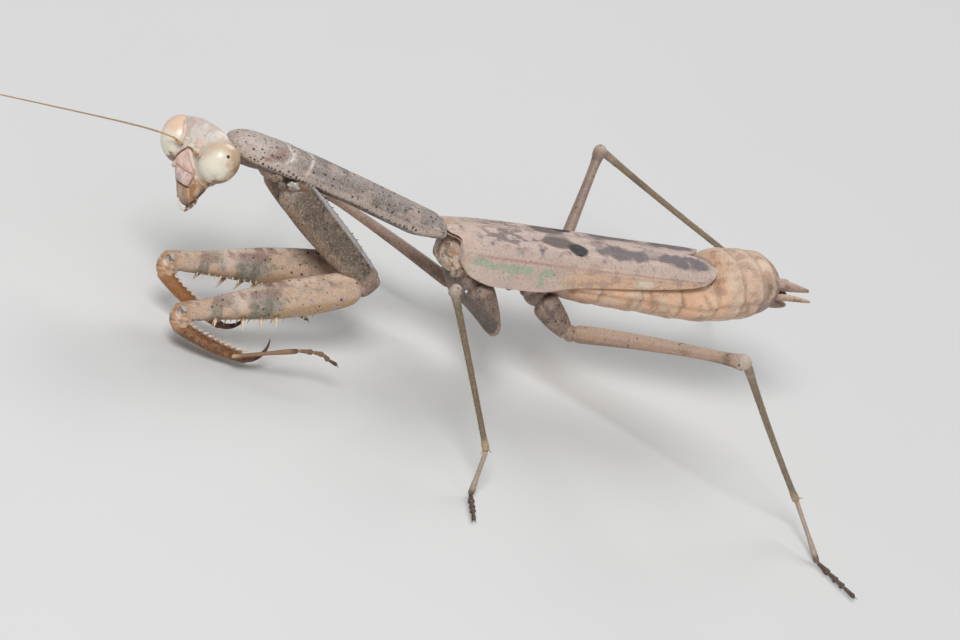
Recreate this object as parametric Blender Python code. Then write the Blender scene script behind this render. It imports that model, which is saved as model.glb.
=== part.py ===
"""Carolina mantis, female, life size, standing with its fore legs folded.

The animal faces -Y, its left side is +X and +Z is up. It rests on the flat soles of
its two middle and two hind feet at z = 0; the fore legs are held clear of the floor.
Lengths below are in millimetres and angles in degrees; meshes are written in metres.

Directions of limbs are given as (azimuth, elevation): azimuth 0 points ahead of the
animal and +90 to its left, elevation is above the horizontal.
"""

import math

import bmesh
import bpy
from mathutils import Matrix, Vector

MM = 0.001
JOINT_GAP = 0.04            # clearance left between neighbouring pieces
FELT_MIN = 0.26             # least half thickness of a feeler, tarsus or wing

# ---- trunk ----
STANCE_HEIGHT = 9.8         # middle of the mesothorax above the floor
BODY_ROLL = 9.5             # the animal leans a little to its right
PRONOTUM_LENGTH = 19.8
PRONOTUM_PITCH = 11.7
PRONOTUM_REAR = (0.0, -2.75, 0.90)
ABDOMEN_PITCH = 4.7
TEGMEN_LENGTH = 22.7
TEGMEN_START = -1.6
TEGMEN_THICKNESS = 0.52
ABDOMEN_START = 6.6
ABDOMEN_END = 27.5
ANAL_PLATE_END = 31.3

# ---- head ----
HEAD_CENTRE = (0.2, -24.4, 13.35)
HEAD_YAW = 20.0
HEAD_PITCH = 6.4
HEAD_ROLL = 13.0
EYE_OFFSET = (2.24, -0.1, 0.20)
EYE_HALF = (1.42, 1.56, 1.88)
EYE_TILT = 22.0
EYE_BACK_TILT = 9.0
ANTENNA_ROOT = (0.8, -1.3, 0.25)
ANTENNA_LENGTH = 21.0
ANTENNA_RIGHT = (-6.0, -2.0)
ANTENNA_LEFT = (62.2, 25.9)

# ---- fore legs ----
FORE_ROOT_BACK = {"left": 4.9, "right": 5.05}    # behind the front edge of the pronotum
FORE_ROOT_SIDE = 1.95
FORE_ROOT_DROP = 0.7
FORE_COXA_LENGTH = 11.4
FORE_FEMUR_LENGTH = 15.5
FORE_TIBIA_LENGTH = 6.3
FORE_CLAW_LENGTH = 2.9
FORE_TARSUS_LENGTHS = (5.6, 3.2)
FORE_COXA = {"left": (167.5, -34.5), "right": (-197.6, -33.5)}
FORE_FEMUR = {"left": (8.4, -15.3), "right": (3.5, -7.1)}
FORE_TIBIA = {"left": (169.0, -11.5), "right": (-200.0, -24.0)}
FORE_TARSUS = {"left": (178.0, 22.5), "right": (-185.0, 25.0)}

# ---- middle and hind legs ----
MID_ROOT = {"left": (3.65, 2.9, -4.55), "right": (-3.65, 2.9, -4.55)}
HIND_ROOT = {"left": (3.45, 9.2, -3.7), "right": (-3.35, 10.1, -3.5)}
MID_FEMUR_LENGTH = 13.6
MID_TIBIA_LENGTH = 12.2
HIND_FEMUR_LENGTH = 17.1
HIND_TIBIA_LENGTH = 16.8
MID_TARSUS = (3.0, 3.2)
HIND_TARSUS = (5.0, 4.2)
LEG_POSE = {
    # name: femur azimuth and elevation, tibia azimuth, ankle height, foot azimuth
    "mid_left": (37.3, 30.2, 129.5, 3.4, 75.0),
    "mid_right": (-30.3, 10.7, -114.0, 3.0, -95.0),
    "hind_left": (116.0, 29.0, 186.5, 3.0, 113.0),
    "hind_right": (-119.0, 22.3, -195.7, 6.8, -116.0),
}


def clear_scene():
    """Remove every object and mesh of the start-up scene."""
    for thing in list(bpy.data.objects):
        bpy.data.objects.remove(thing, do_unlink=True)
    for mesh in list(bpy.data.meshes):
        bpy.data.meshes.remove(mesh)


def finish_of(name, colour, roughness):
    """A Principled material with one colour and roughness."""
    material = bpy.data.materials.new(name)
    material.use_nodes = True
    surface = material.node_tree.nodes["Principled BSDF"]
    surface.inputs["Base Color"].default_value = (*colour, 1.0)
    surface.inputs["Roughness"].default_value = roughness
    surface.inputs["Metallic"].default_value = 0.0
    return material


def rot(axis, degrees):
    """Rotation matrix about a named axis."""
    return Matrix.Rotation(math.radians(degrees), 4, axis)


def shift(x, y, z):
    """Translation matrix."""
    return Matrix.Translation((x, y, z))


def heading(azimuth, elevation):
    """Unit vector of a limb direction."""
    a = math.radians(azimuth)
    e = math.radians(elevation)
    return Vector((math.sin(a) * math.cos(e), -math.cos(a) * math.cos(e), math.sin(e)))


def frame_along(start, direction, up):
    """Frame at start with +X along direction and +Z as near to up as it can be."""
    x = direction.normalized()
    y = up.cross(x).normalized()
    z = x.cross(y)
    turn = Matrix((x, y, z)).transposed().to_4x4()
    return Matrix.Translation(start) @ turn


def ease(t):
    """Smooth step from 0 to 1."""
    t = min(max(t, 0.0), 1.0)
    return t * t * (3.0 - 2.0 * t)


def blend(table, t):
    """Interpolate rows of (t, value, value, ...) with smooth slopes between them."""
    if t <= table[0][0]:
        return table[0][1:]
    for low, high in zip(table, table[1:]):
        if t <= high[0]:
            k = ease((t - low[0]) / (high[0] - low[0]))
            return tuple(a + (b - a) * k for a, b in zip(low[1:], high[1:]))
    return table[-1][1:]


def oval(count, half_y, half_z, power=1.0, turn=0.0):
    """Points of a superellipse in the YZ plane, as (y, z) pairs."""
    points = []
    for i in range(count):
        a = 2.0 * math.pi * i / count + turn
        c = math.cos(a)
        s = math.sin(a)
        y = half_y * math.copysign(abs(c) ** power, c)
        z = half_z * math.copysign(abs(s) ** power, s)
        points.append((y, z))
    return points


def solid(name, rings, matrix, material, root):
    """Closed lofted solid through rings of points, each end closed to a point."""
    bm = bmesh.new()
    loops = []
    for ring in rings:
        loops.append([bm.verts.new(Vector(p) * MM) for p in ring])
    for low, high in zip(loops, loops[1:]):
        for i in range(len(low)):
            j = (i + 1) % len(low)
            bm.faces.new((low[i], low[j], high[j], high[i]))
    for loop in (loops[0], loops[-1]):
        middle = sum((v.co for v in loop), Vector()) / len(loop)
        pole = bm.verts.new(middle)
        for i in range(len(loop)):
            bm.faces.new((loop[i], loop[(i + 1) % len(loop)], pole))
    return publish(name, bm, matrix, material, root)


def publish(name, bm, matrix, material, root):
    """Write a bmesh to a named object under the root, with outward faces."""
    bmesh.ops.recalc_face_normals(bm, faces=bm.faces)
    mesh = bpy.data.meshes.new(name)
    bm.to_mesh(mesh)
    bm.free()
    mesh.shade_smooth()
    mesh.set_sharp_from_angle(angle=math.radians(40.0))
    mesh.materials.append(material)
    thing = bpy.data.objects.new(name, mesh)
    bpy.context.collection.objects.link(thing)
    thing.parent = root
    placed = matrix.copy()
    placed.translation = matrix.translation * MM
    thing.matrix_basis = placed
    return thing


def limb_rings(length, stations, sides, power=1.0, bow=0.0):
    """Rings along +X of a limb; stations hold fraction, half_y, half_z, rise."""
    rings = []
    for t, half_y, half_z, rise in stations:
        lift = rise + bow * 4.0 * t * (1.0 - t)
        rings.append([(length * t, y, z + lift) for y, z in oval(sides, half_y, half_z, power)])
    return rings


def round_ends(stations, length):
    """Add a smaller ring just inside each end so that a limb closes roundly."""
    first = stations[0]
    last = stations[-1]
    reach = 0.6 * max(first[1], first[2]) / length
    back = 0.6 * max(last[1], last[2]) / length
    start = (0.0, first[1] * 0.45, first[2] * 0.45, first[3])
    body = [(reach + (1.0 - reach - back) * s[0], *s[1:]) for s in stations]
    end = (1.0, last[1] * 0.45, last[2] * 0.45, last[3])
    return [start, *body, end]


def grow_spine(bm, face, reach, lean, base=0.5, tip=0.18):
    """Raise a thorn from one face of a limb: inset, extrude and draw to a point."""
    size = min(edge.calc_length() for edge in face.edges)
    normal = face.normal.copy()
    bmesh.ops.inset_individual(bm, faces=[face], thickness=size * 0.5 * (1.0 - base))
    made = bmesh.ops.extrude_discrete_faces(bm, faces=[face])["faces"][0]
    centre = made.calc_center_median()
    move = (normal + lean).normalized() * reach * MM
    for vert in made.verts:
        vert.co = centre + (vert.co - centre) * tip + move


def pronotum(body, material, root):
    """The long prothorax: a low roof with pale keels, widest over the fore coxae."""
    # fraction from the rear, half width, height of the roof, drop of the keel, belly depth
    table = (
        (0.00, 1.50, 1.12, -0.30, 0.35),
        (0.05, 1.70, 1.35, -0.15, 0.45),
        (0.16, 1.82, 1.42, 0.28, 0.40),
        (0.30, 1.80, 1.45, 0.26, 0.38),
        (0.45, 1.78, 1.48, 0.10, 0.40),
        (0.60, 1.95, 1.48, -0.12, 0.50),
        (0.72, 2.55, 1.32, -0.18, 0.65),
        (0.80, 2.60, 1.22, -0.18, 0.70),
        (0.90, 2.30, 1.00, -0.18, 0.62),
        (0.965, 1.70, 0.70, -0.18, 0.45),
        (1.00, 1.00, 0.32, -0.12, 0.25),
    )
    rings = []
    steps = 20
    for i in range(steps + 1):
        t = i / steps
        if i == steps - 1:
            t = 0.972
        half, roof, drop, belly = blend(table, t)
        ring = []
        for k in range(9):
            a = math.pi * k / 8
            rise = roof * math.sin(a) ** 0.9 - drop * (1.0 - math.sin(a))
            ring.append((half * math.cos(a), -PRONOTUM_LENGTH * t, rise))
        for k in range(1, 8):
            a = math.pi * k / 8
            x = -0.84 * half * math.cos(a)
            ring.append((x, -PRONOTUM_LENGTH * t, -drop - 0.10 - belly * math.sin(a) ** 0.8))
        rings.append(ring)
    place = body @ shift(*PRONOTUM_REAR) @ rot("X", -PRONOTUM_PITCH)
    solid("pronotum", rings, place, material, root)
    return place


def thorax(body, name, start, end, material, root):
    """One of the two winged thorax rings, a deep box rounded below."""
    table = (
        (0.0, 1.25, 0.95, 1.10),
        (0.25, 1.90, 1.25, 1.75),
        (0.7, 2.20, 1.25, 1.95),
        (1.0, 2.10, 1.10, 1.95),
    )
    if name == "metathorax":
        table = ((0.0, 2.10, 1.10, 1.95), (0.4, 2.30, 1.15, 2.05), (1.0, 2.30, 0.95, 2.15))
    rings = []
    for i in range(6):
        t = i / 5
        half, top, bottom = blend(table, t)
        ring = []
        for x, z in oval(14, half, 1.0, 0.8):
            ring.append((x, start + (end - start) * t, z * (top if z > 0 else bottom)))
        rings.append(ring)
    solid(name, rings, body, material, root)


def abdomen(back, material, root):
    """The abdomen: low under the wings, full and rounded behind them."""
    # distance behind the mesothorax, half width below, half width above, top, bottom
    table = (
        (ABDOMEN_START, 2.30, 2.10, 0.70, -2.30),
        (9.5, 3.00, 2.60, 0.80, -2.70),
        (12.5, 3.15, 2.60, 0.85, -2.90),
        (15.5, 3.08, 2.50, 0.82, -3.05),
        (18.5, 3.12, 2.45, 0.78, -3.25),
        (20.5, 3.28, 2.45, 0.78, -3.20),
        (22.2, 3.65, 3.50, 2.10, -3.02),
        (24.2, 3.55, 3.50, 2.40, -2.65),
        (26.0, 3.00, 3.00, 2.45, -2.00),
        (27.1, 2.30, 2.30, 1.95, -1.30),
        (ABDOMEN_END, 1.40, 1.40, 1.45, -0.80),
    )
    rings = []
    for at, low, high, top, bottom in table:
        middle = 0.5 * (top + bottom)
        height = 0.5 * (top - bottom)
        ring = []
        for x, z in oval(18, 1.0, 1.0, 0.92):
            half = low + (high - low) * max(z, 0.0)
            ring.append((x * half, at, middle + z * height))
        rings.append(ring)
    solid("abdomen", rings, back, material, root)


def wing_profile(steps=60, reach=6.4):
    """Cross-section of the folded wing from the back's mid-line, by arc length."""
    points = [(0.0, 0.0)]
    for i in range(steps):
        a = reach * (i + 0.5) / steps
        fall = math.radians(9.0 + 64.0 * ease((a - 1.5) / 2.3))
        x, z = points[-1]
        step = reach / steps
        points.append((x + step * math.cos(fall), z - step * math.sin(fall)))
    return points, reach / steps


def on_profile(profile, step, a):
    """Point and inward normal of the wing's cross-section at one arc length."""
    k = min(max(a / step, 0.0), len(profile) - 1.001)
    i = int(k)
    x0, z0 = profile[i]
    x1, z1 = profile[i + 1]
    along = Vector((x1 - x0, z1 - z0)).normalized()
    point = Vector((x0 + (x1 - x0) * (k - i), z0 + (z1 - z0) * (k - i)))
    return point, Vector((along.y, -along.x))


def tegmen(side, back, material, root):
    """A fore wing folded over the back: a flat top, a shoulder and a steep outer edge."""
    sign = 1 if side == "left" else -1
    profile, step = wing_profile()
    # fraction of the length, arc of the inner margin, arc of the outer margin, width factor
    table = (
        (0.00, 0.35, 4.40, 0.80),
        (0.05, 0.12, 5.50, 0.88),
        (0.13, 0.06, 5.90, 0.96),
        (0.30, 0.06, 5.80, 1.00),
        (0.45, 0.06, 5.10, 1.00),
        (0.70, 0.06, 4.55, 0.99),
        (0.86, 0.06, 4.10, 0.98),
        (0.94, 0.45, 3.70, 0.97),
        (0.985, 1.30, 2.95, 0.96),
        (1.00, 1.85, 2.35, 0.96),
    )
    rings = []
    steps = 14
    count = 7
    for i in range(steps + 1):
        t = 1.0 - (1.0 - i / steps) ** 1.15
        if i == steps - 1:
            t = 0.985
        first, last, wide = blend(table, t)
        ridge = 2.38 - 0.42 * t
        outer = []
        inner = []
        for k in range(count):
            point, inward = on_profile(profile, step, first + (last - first) * k / (count - 1))
            outer.append((point.x * wide, ridge + point.y))
            deep = point + inward * TEGMEN_THICKNESS
            inner.append((max(deep.x * wide, 0.05), ridge + deep.y))
        at = TEGMEN_START + TEGMEN_LENGTH * t
        rings.append([(sign * x, at, z) for x, z in outer + inner[::-1]])
    solid("tegmen_" + side, rings, back, material, root)


def head_parts(place, shell, eye_finish, mouth_finish, root):
    """Head capsule, the two eyes let into its sides, and the mouthparts below."""
    # height, half width, front, back
    table = (
        (2.38, 0.90, -0.05, 0.45),
        (2.28, 1.70, -0.25, 0.80),
        (1.95, 2.35, -0.60, 1.15),
        (1.30, 2.60, -0.95, 1.40),
        (0.50, 2.50, -1.28, 1.50),
        (-0.40, 2.20, -1.48, 1.45),
        (-1.20, 1.75, -1.58, 1.20),
        (-1.90, 1.35, -1.58, 0.85),
        (-2.45, 1.08, -1.50, 0.50),
        (-2.62, 0.95, -1.42, 0.30),
    )
    rings = []
    for height, half, front, back in table:
        middle = 0.5 * (front + back)
        depth = 0.5 * (back - front)
        rings.append([(x, middle + y, height) for x, y in oval(20, half, depth, 0.85)])
    capsule = solid("head", rings, place, shell, root)
    for side, sign in (("left", 1), ("right", -1)):
        seat = place @ shift(sign * EYE_OFFSET[0], EYE_OFFSET[1], EYE_OFFSET[2])
        seat = seat @ rot("Y", sign * EYE_TILT) @ rot("X", -EYE_BACK_TILT)
        ball("eye_" + side, EYE_HALF, seat, eye_finish, root)
        room = tuple(h + JOINT_GAP for h in EYE_HALF)
        cutter = ball("eye_room_" + side, room, seat, eye_finish, root)
        cutter.hide_render = True
        cutter.display_type = "WIRE"
        cut = capsule.modifiers.new("seat_" + side, "BOOLEAN")
        cut.operation = "DIFFERENCE"
        cut.solver = "EXACT"
        cut.object = cutter
    # labrum with the mandibles and palps gathered behind it
    table = (
        (-2.72, 0.90, -1.40, 0.20),
        (-3.05, 0.92, -1.38, 0.25),
        (-3.55, 0.78, -1.30, 0.20),
        (-4.10, 0.56, -1.20, -0.05),
        (-4.52, 0.28, -1.12, -0.45),
    )
    rings = []
    for height, half, front, back in table:
        middle = 0.5 * (front + back)
        depth = 0.5 * (back - front)
        rings.append([(x, middle + y, height) for x, y in oval(12, half, depth, 0.9)])
    solid("mouthparts", rings, place, mouth_finish, root)


def ball(name, half, matrix, material, root):
    """An ellipsoid with its long axis along Z."""
    bm = bmesh.new()
    bmesh.ops.create_uvsphere(bm, u_segments=16, v_segments=10, radius=1.0)
    for vert in bm.verts:
        vert.co = Vector(c * h * MM for c, h in zip(vert.co, half))
    return publish(name, bm, matrix, material, root)


def antenna(name, start, way, arch, material, root):
    """A tapering feeler that leaves the brow steeply and then runs level."""
    path = []
    for i in range(12):
        t = (i / 11) ** 1.5
        half = 0.34 + (FELT_MIN - 0.34) * min(1.0, 4.0 * t)
        path.append((ANTENNA_LENGTH * t, arch * (1.0 - math.exp(-7.0 * t)), half, half))
    place = frame_along(start, way, Vector((0, 0, 1)))
    solid(name, bent_rings(path, 6), place, material, root)


def neck(head_place, pronotum_place, material, root):
    """The soft neck between the back of the head and the underside of the pronotum."""
    start = head_place @ Vector((0.0, 1.76, 0.25))
    end = pronotum_place @ Vector((0.0, -PRONOTUM_LENGTH - 0.32, 0.08))
    reach = (end - start).length
    place = frame_along(start, end - start, Vector((0, 0, 1)))
    stations = [(0.0, 0.40, 0.30, 0.0), (0.5, 0.80, 0.45, -0.05), (1.0, 0.40, 0.22, 0.0)]
    solid("neck", limb_rings(reach, stations, 12), place, material, root)


def fore_leg(side, front, finishes, root):
    """The folded catching leg: coxa, trochanter, spined femur and tibia, tarsus."""
    sign = 1 if side == "left" else -1
    start = front @ Vector((sign * FORE_ROOT_SIDE, FORE_ROOT_BACK[side], -FORE_ROOT_DROP))
    coxa_way = heading(*FORE_COXA[side])
    femur_way = heading(*FORE_FEMUR[side])
    tibia_way = heading(*FORE_TIBIA[side])
    hip = start + coxa_way * FORE_COXA_LENGTH
    knee = hip + femur_way * FORE_FEMUR_LENGTH
    dorsal = -(tibia_way - femur_way * tibia_way.dot(femur_way)).normalized()

    # coxa, from just under the keel to the trochanter
    lead = 0.85
    reach = FORE_COXA_LENGTH - lead - 0.68
    stations = round_ends(
        [(0.0, 0.60, 1.05, 0.0), (0.12, 0.86, 1.45, 0.0), (0.30, 0.90, 1.52, -0.05),
         (0.60, 0.80, 1.42, -0.18), (0.85, 0.70, 1.15, -0.35), (1.0, 0.58, 0.85, -0.42)],
        reach)
    place = frame_along(start + coxa_way * lead, coxa_way, femur_way)
    solid("fore_coxa_" + side, limb_rings(reach, stations, 10), place, finishes["fore"], root)

    # trochanter, the knob at the elbow of the folded leg
    stations = [(0.0, 0.25, 0.3, 0.0), (0.25, 0.6, 0.72, 0.0), (0.7, 0.6, 0.72, 0.0), (1.0, 0.25, 0.3, 0.0)]
    place = frame_along(hip - coxa_way * 0.60, coxa_way, femur_way)
    solid("fore_trochanter_" + side, limb_rings(1.40, stations, 10), place, finishes["fore"], root)

    # femur with its row of outer thorns and the closer row of inner ones
    begin = 0.95
    reach = FORE_FEMUR_LENGTH - begin + 0.62
    rows = ((0.0, 0.32, 0.40, -0.08), (0.05, 0.60, 0.90, 0.06), (0.13, 0.82, 1.32, 0.14),
            (0.26, 0.92, 1.42, 0.04), (0.42, 0.90, 1.40, 0.05), (0.56, 0.82, 1.22, 0.08),
            (0.70, 0.70, 0.98, 0.10), (0.84, 0.60, 0.78, 0.12), (0.915, 0.62, 0.72, 0.18),
            (0.955, 0.56, 0.42, 0.42), (1.0, 0.30, 0.24, 0.42))
    count = 26
    stations = []
    for i in range(count + 1):
        t = i / count
        stations.append((t, *blend(rows, t)))
    place = frame_along(hip + femur_way * begin, femur_way, dorsal)
    leg = solid("fore_femur_" + side, limb_rings(reach, stations, 10, 0.95), place, finishes["femur"], root)
    grow_row(leg, -1, (8, 12, 15, 19), sign, 0.85, 10)
    grow_row(leg, -1, (9, 10, 11, 13, 14, 16, 17, 18, 20), -sign, 0.60, 10)

    # tibia, its head hinged under the femur's end, curved into the long claw
    hinge = knee + femur_way * 0.66 - dorsal * 0.56
    place = frame_along(hinge, tibia_way, dorsal)
    rows = (
        (0.0, 0.28, 0.28),
        (0.05, 0.46, 0.50),
        (0.14, 0.50, 0.58),
        (0.5, 0.46, 0.58),
        (1.0, 0.36, 0.42),
    )
    path = []
    for i in range(12):
        t = i / 11
        sag = 0.10 - 0.28 * math.sin(math.pi * t) ** 0.9
        path.append((FORE_TIBIA_LENGTH * t, sag, *blend(rows, t)))
    for i in range(1, 8):
        t = i / 7
        bend = math.radians(12.0 + 98.0 * t)
        x, z = path[-1][:2]
        step = FORE_CLAW_LENGTH / 7
        half = 0.32 - 0.26 * t
        path.append((x + step * math.cos(bend), z + step * math.sin(bend), half, half * 1.15))
    tibia = solid("fore_tibia_" + side, bent_rings(path, 8), place, finishes["tibia"], root)
    grow_row(tibia, 1, (2, 3, 4, 5, 6, 7, 8, 9), sign, 0.40, 8)

    # tarsus, a slender chain carried back on the outer side of the tibia
    outward = dorsal.cross(tibia_way).normalized()
    if outward.x * sign < 0.0:
        outward = -outward
    ankle = hinge + tibia_way * (FORE_TIBIA_LENGTH - 1.55) + outward * 0.80 - dorsal * 0.40
    fore_tarsus(side, ankle, heading(*FORE_TARSUS[side]), finishes["tarsus"], root)


def bent_rings(path, sides, power=1.0):
    """Rings square to a path in the XZ plane; rows hold x, z, half_y, half_z."""
    rings = []
    for i, (x, z, half_y, half_z) in enumerate(path):
        before = path[max(i - 1, 0)]
        after = path[min(i + 1, len(path) - 1)]
        slope = math.atan2(after[1] - before[1], after[0] - before[0])
        ring = []
        for y, h in oval(sides, half_y, half_z, power):
            ring.append((x - h * math.sin(slope), y, z + h * math.cos(slope)))
        rings.append(ring)
    return rings


def grow_row(leg, direction, ring_indices, flank, reach, sides):
    """Thorns on the faces next to the lower or upper mid-line of a limb."""
    mesh = leg.data
    bm = bmesh.new()
    bm.from_mesh(mesh)
    bm.faces.ensure_lookup_table()
    bm.normal_update()
    chosen = []
    for ring in ring_indices:
        best = None
        low = None
        for face in bm.faces[ring * sides:(ring + 1) * sides]:
            centre = face.calc_center_median()
            score = direction * centre.z + 0.35 * flank * centre.y
            if low is None or score > low:
                low = score
                best = face
        chosen.append(best)
    for face in chosen:
        lean = Vector((-0.12, 0.22 * flank, 0.35 * direction))
        grow_spine(bm, face, reach, lean)
    bm.normal_update()
    bm.to_mesh(mesh)
    bm.free()
    mesh.shade_smooth()
    mesh.set_sharp_from_angle(angle=math.radians(40.0))


def fore_tarsus(side, ankle, way, material, root):
    """The free fore tarsus: a long first joint and four short, drooping ones."""
    first, rest = FORE_TARSUS_LENGTHS
    path = []
    for i in range(5):
        t = i / 4
        path.append((first * t, 0.0, FELT_MIN, FELT_MIN if i else 0.16))
    for i in range(1, 9):
        t = i / 8
        half = FELT_MIN + (0.05 if i % 2 else 0.0)
        fall = math.radians(-25.0 - 45.0 * t)
        x, z = path[-1][:2]
        step = rest / 8
        path.append((x + step * math.cos(fall), z + step * math.sin(fall), half, half if i < 8 else 0.16))
    place = frame_along(ankle, way, Vector((0, 0, 1)))
    solid("fore_tarsus_" + side, bent_rings(path, 6), place, material, root)


def walking_leg(name, pose, root_point, lengths, tarsus_lengths, body, finishes, root):
    """A middle or hind leg from its coxa to the flat sole of its foot."""
    femur_azimuth, femur_rise, tibia_azimuth, ankle_height, foot_azimuth = pose
    sign = 1 if name.endswith("left") else -1
    femur_length, tibia_length = lengths
    hip = body @ Vector(root_point)
    femur_way = heading(femur_azimuth, femur_rise)
    knee = hip + femur_way * femur_length
    drop = knee.z - ankle_height
    tibia_way = heading(tibia_azimuth, -math.degrees(math.asin(drop / tibia_length)))
    ankle = knee + tibia_way * tibia_length
    hind = name.startswith("hind")

    # coxa with its trochanter, hanging from the side of the thorax
    top = body @ Vector((sign * 2.25, 6.7 if hind else 0.9, -2.15 if hind else -2.05))
    coxa_way = (hip - top).normalized()
    reach = (hip - top).length + 0.15
    stations = round_ends(
        [(0.0, 0.60, 0.95, 0.0), (0.22, 0.85, 1.25, 0.0), (0.60, 0.72, 1.00, 0.0), (1.0, 0.50, 0.58, 0.0)],
        reach)
    place = frame_along(top, coxa_way, Vector((0, -1, 0.2)))
    solid(name.replace("_", "_coxa_"), limb_rings(reach, stations, 10), place, finishes["trunk"], root)

    # femur, swollen at the knee
    begin = 0.80
    reach = femur_length - begin + 0.30
    thick = 1.18 if hind else 1.0
    stations = round_ends(
        [(0.0, 0.36 * thick, 0.44 * thick, 0.0), (0.10, 0.42 * thick, 0.54 * thick, 0.0),
         (0.45, 0.36 * thick, 0.46 * thick, 0.0), (0.80, 0.31 * thick, 0.38 * thick, 0.0),
         (0.92, 0.38 * thick, 0.46 * thick, 0.0), (0.97, 0.46 * thick, 0.54 * thick, 0.0),
         (1.0, 0.40 * thick, 0.46 * thick, 0.0)],
        reach)
    up = Vector((0, 0, 1))
    place = frame_along(hip + femur_way * begin, femur_way, up)
    solid(name.replace("_", "_femur_"), limb_rings(reach, stations, 8, bow=0.25 if hind else 0.15),
          place, finishes["leg"], root)

    # tibia, slender, widening a little at the ankle spur
    begin = 0.60 * thick
    reach = tibia_length - begin - 0.20
    stations = round_ends(
        [(0.0, 0.30, 0.34, 0.0), (0.12, 0.29, 0.32, 0.0), (0.55, 0.26, 0.27, 0.0),
         (0.92, 0.26, 0.27, 0.0), (1.0, 0.32, 0.33, 0.0)],
        reach)
    place = frame_along(knee + tibia_way * begin, tibia_way, -femur_way)
    shank = limb_rings(reach, stations, 8, bow=0.15)
    solid(name.replace("_", "_tibia_"), shank, place, finishes["tibia_leg"], root)

    # foot: first joint slopes down, the rest lies flat on the floor
    foot(name.replace("_", "_tarsus_"), ankle, foot_azimuth, tarsus_lengths, finishes["tarsus"], root)


def foot(name, ankle, azimuth, lengths, material, root):
    """A standing tarsus, its first joint sloping to the floor, the sole flat at z = 0."""
    first, rest = lengths
    half = FELT_MIN + 0.02
    fall = ankle.z - 0.16 - half
    first = max(first, fall * 1.12)
    run = math.sqrt(first * first - fall * fall)
    out = heading(azimuth, 0.0)
    side = Vector((-out.y, out.x, 0.0))
    lean = math.atan2(fall, run)
    rings = []
    path = []
    for i in range(6):
        t = i / 5
        path.append((run * t, ankle.z - 0.16 - fall * t, -lean, half if i else 0.18))
    for i in range(1, 8):
        t = i / 7
        swell = half + (0.07 if i % 2 else 0.0)
        if i == 7:
            swell = 0.17
        path.append((run + rest * t, half, -lean * 0.35 * max(0.0, 1.0 - 3 * t), swell))
    for along, height, slope, r in path:
        ring = []
        for y, z in oval(8, r, r, 0.9, math.pi / 8):
            level = height + z * math.cos(slope)
            ring.append((along - z * math.sin(slope), y, max(level, 0.0)))
        rings.append(ring)
    base = Vector((ankle.x, ankle.y, 0.0))
    place = Matrix.Translation(base) @ Matrix((out, side, Vector((0, 0, 1)))).transposed().to_4x4()
    flat = []
    for ring in rings:
        lowest = min(p[2] for p in ring)
        if lowest < 0.10:
            ring = [(x, y, 0.0 if z < lowest + 0.16 else z) for x, y, z in ring]
        flat.append(ring)
    solid(name, flat, place, material, root)


def tail(back, finishes, root):
    """Supra-anal plate, the two cerci and the subgenital plate at the abdomen's end."""
    reach = ANAL_PLATE_END - ABDOMEN_END - 0.1
    place = back @ shift(0.0, ABDOMEN_END + 0.10, 0.35) @ rot("Z", 90) @ rot("Y", 6)
    stations = [
        (0.0, 0.85, 0.32, 0.0),
        (0.3, 0.80, 0.36, 0.0),
        (0.7, 0.45, 0.30, 0.0),
        (1.0, 0.15, 0.12, 0.0),
    ]
    solid("anal_plate", limb_rings(reach, stations, 10), place, finishes["tail"], root)
    place = back @ shift(0.0, ABDOMEN_END + 0.05, -1.15) @ rot("Z", 90) @ rot("Y", 8)
    stations = [
        (0.0, 0.60, 0.30, 0.0),
        (0.4, 0.75, 0.40, 0.0),
        (0.8, 0.45, 0.30, 0.0),
        (1.0, 0.15, 0.12, 0.0),
    ]
    solid("genital_plate", limb_rings(2.4, stations, 10), place, finishes["tail"], root)
    stations = [
        (0.0, 0.24, 0.20, 0.0),
        (0.35, 0.30, 0.26, 0.0),
        (0.8, 0.24, 0.20, 0.0),
        (1.0, 0.10, 0.10, 0.0),
    ]
    for side, sign in (("left", 1), ("right", -1)):
        start = back @ Vector((sign * 1.15, ABDOMEN_END + 0.08, -0.42))
        way = (back @ Vector((sign * 2.0, ABDOMEN_END + 2.9, -0.15))) - start
        place = frame_along(start, way, Vector((0, 0, 1)))
        feeler = limb_rings(way.length, stations, 8)
        solid("cercus_" + side, feeler, place, finishes["tail"], root)


def centre_over_floor(root):
    """Move the whole animal so that its outline is centred over the origin."""
    bpy.context.view_layer.update()
    xs = []
    ys = []
    for thing in root.children:
        if thing.hide_render:
            continue
        for vert in thing.data.vertices:
            at = thing.matrix_world @ vert.co
            xs.append(at.x)
            ys.append(at.y)
    root.location.x = -0.5 * (min(xs) + max(xs))
    root.location.y = -0.5 * (min(ys) + max(ys))


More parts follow.
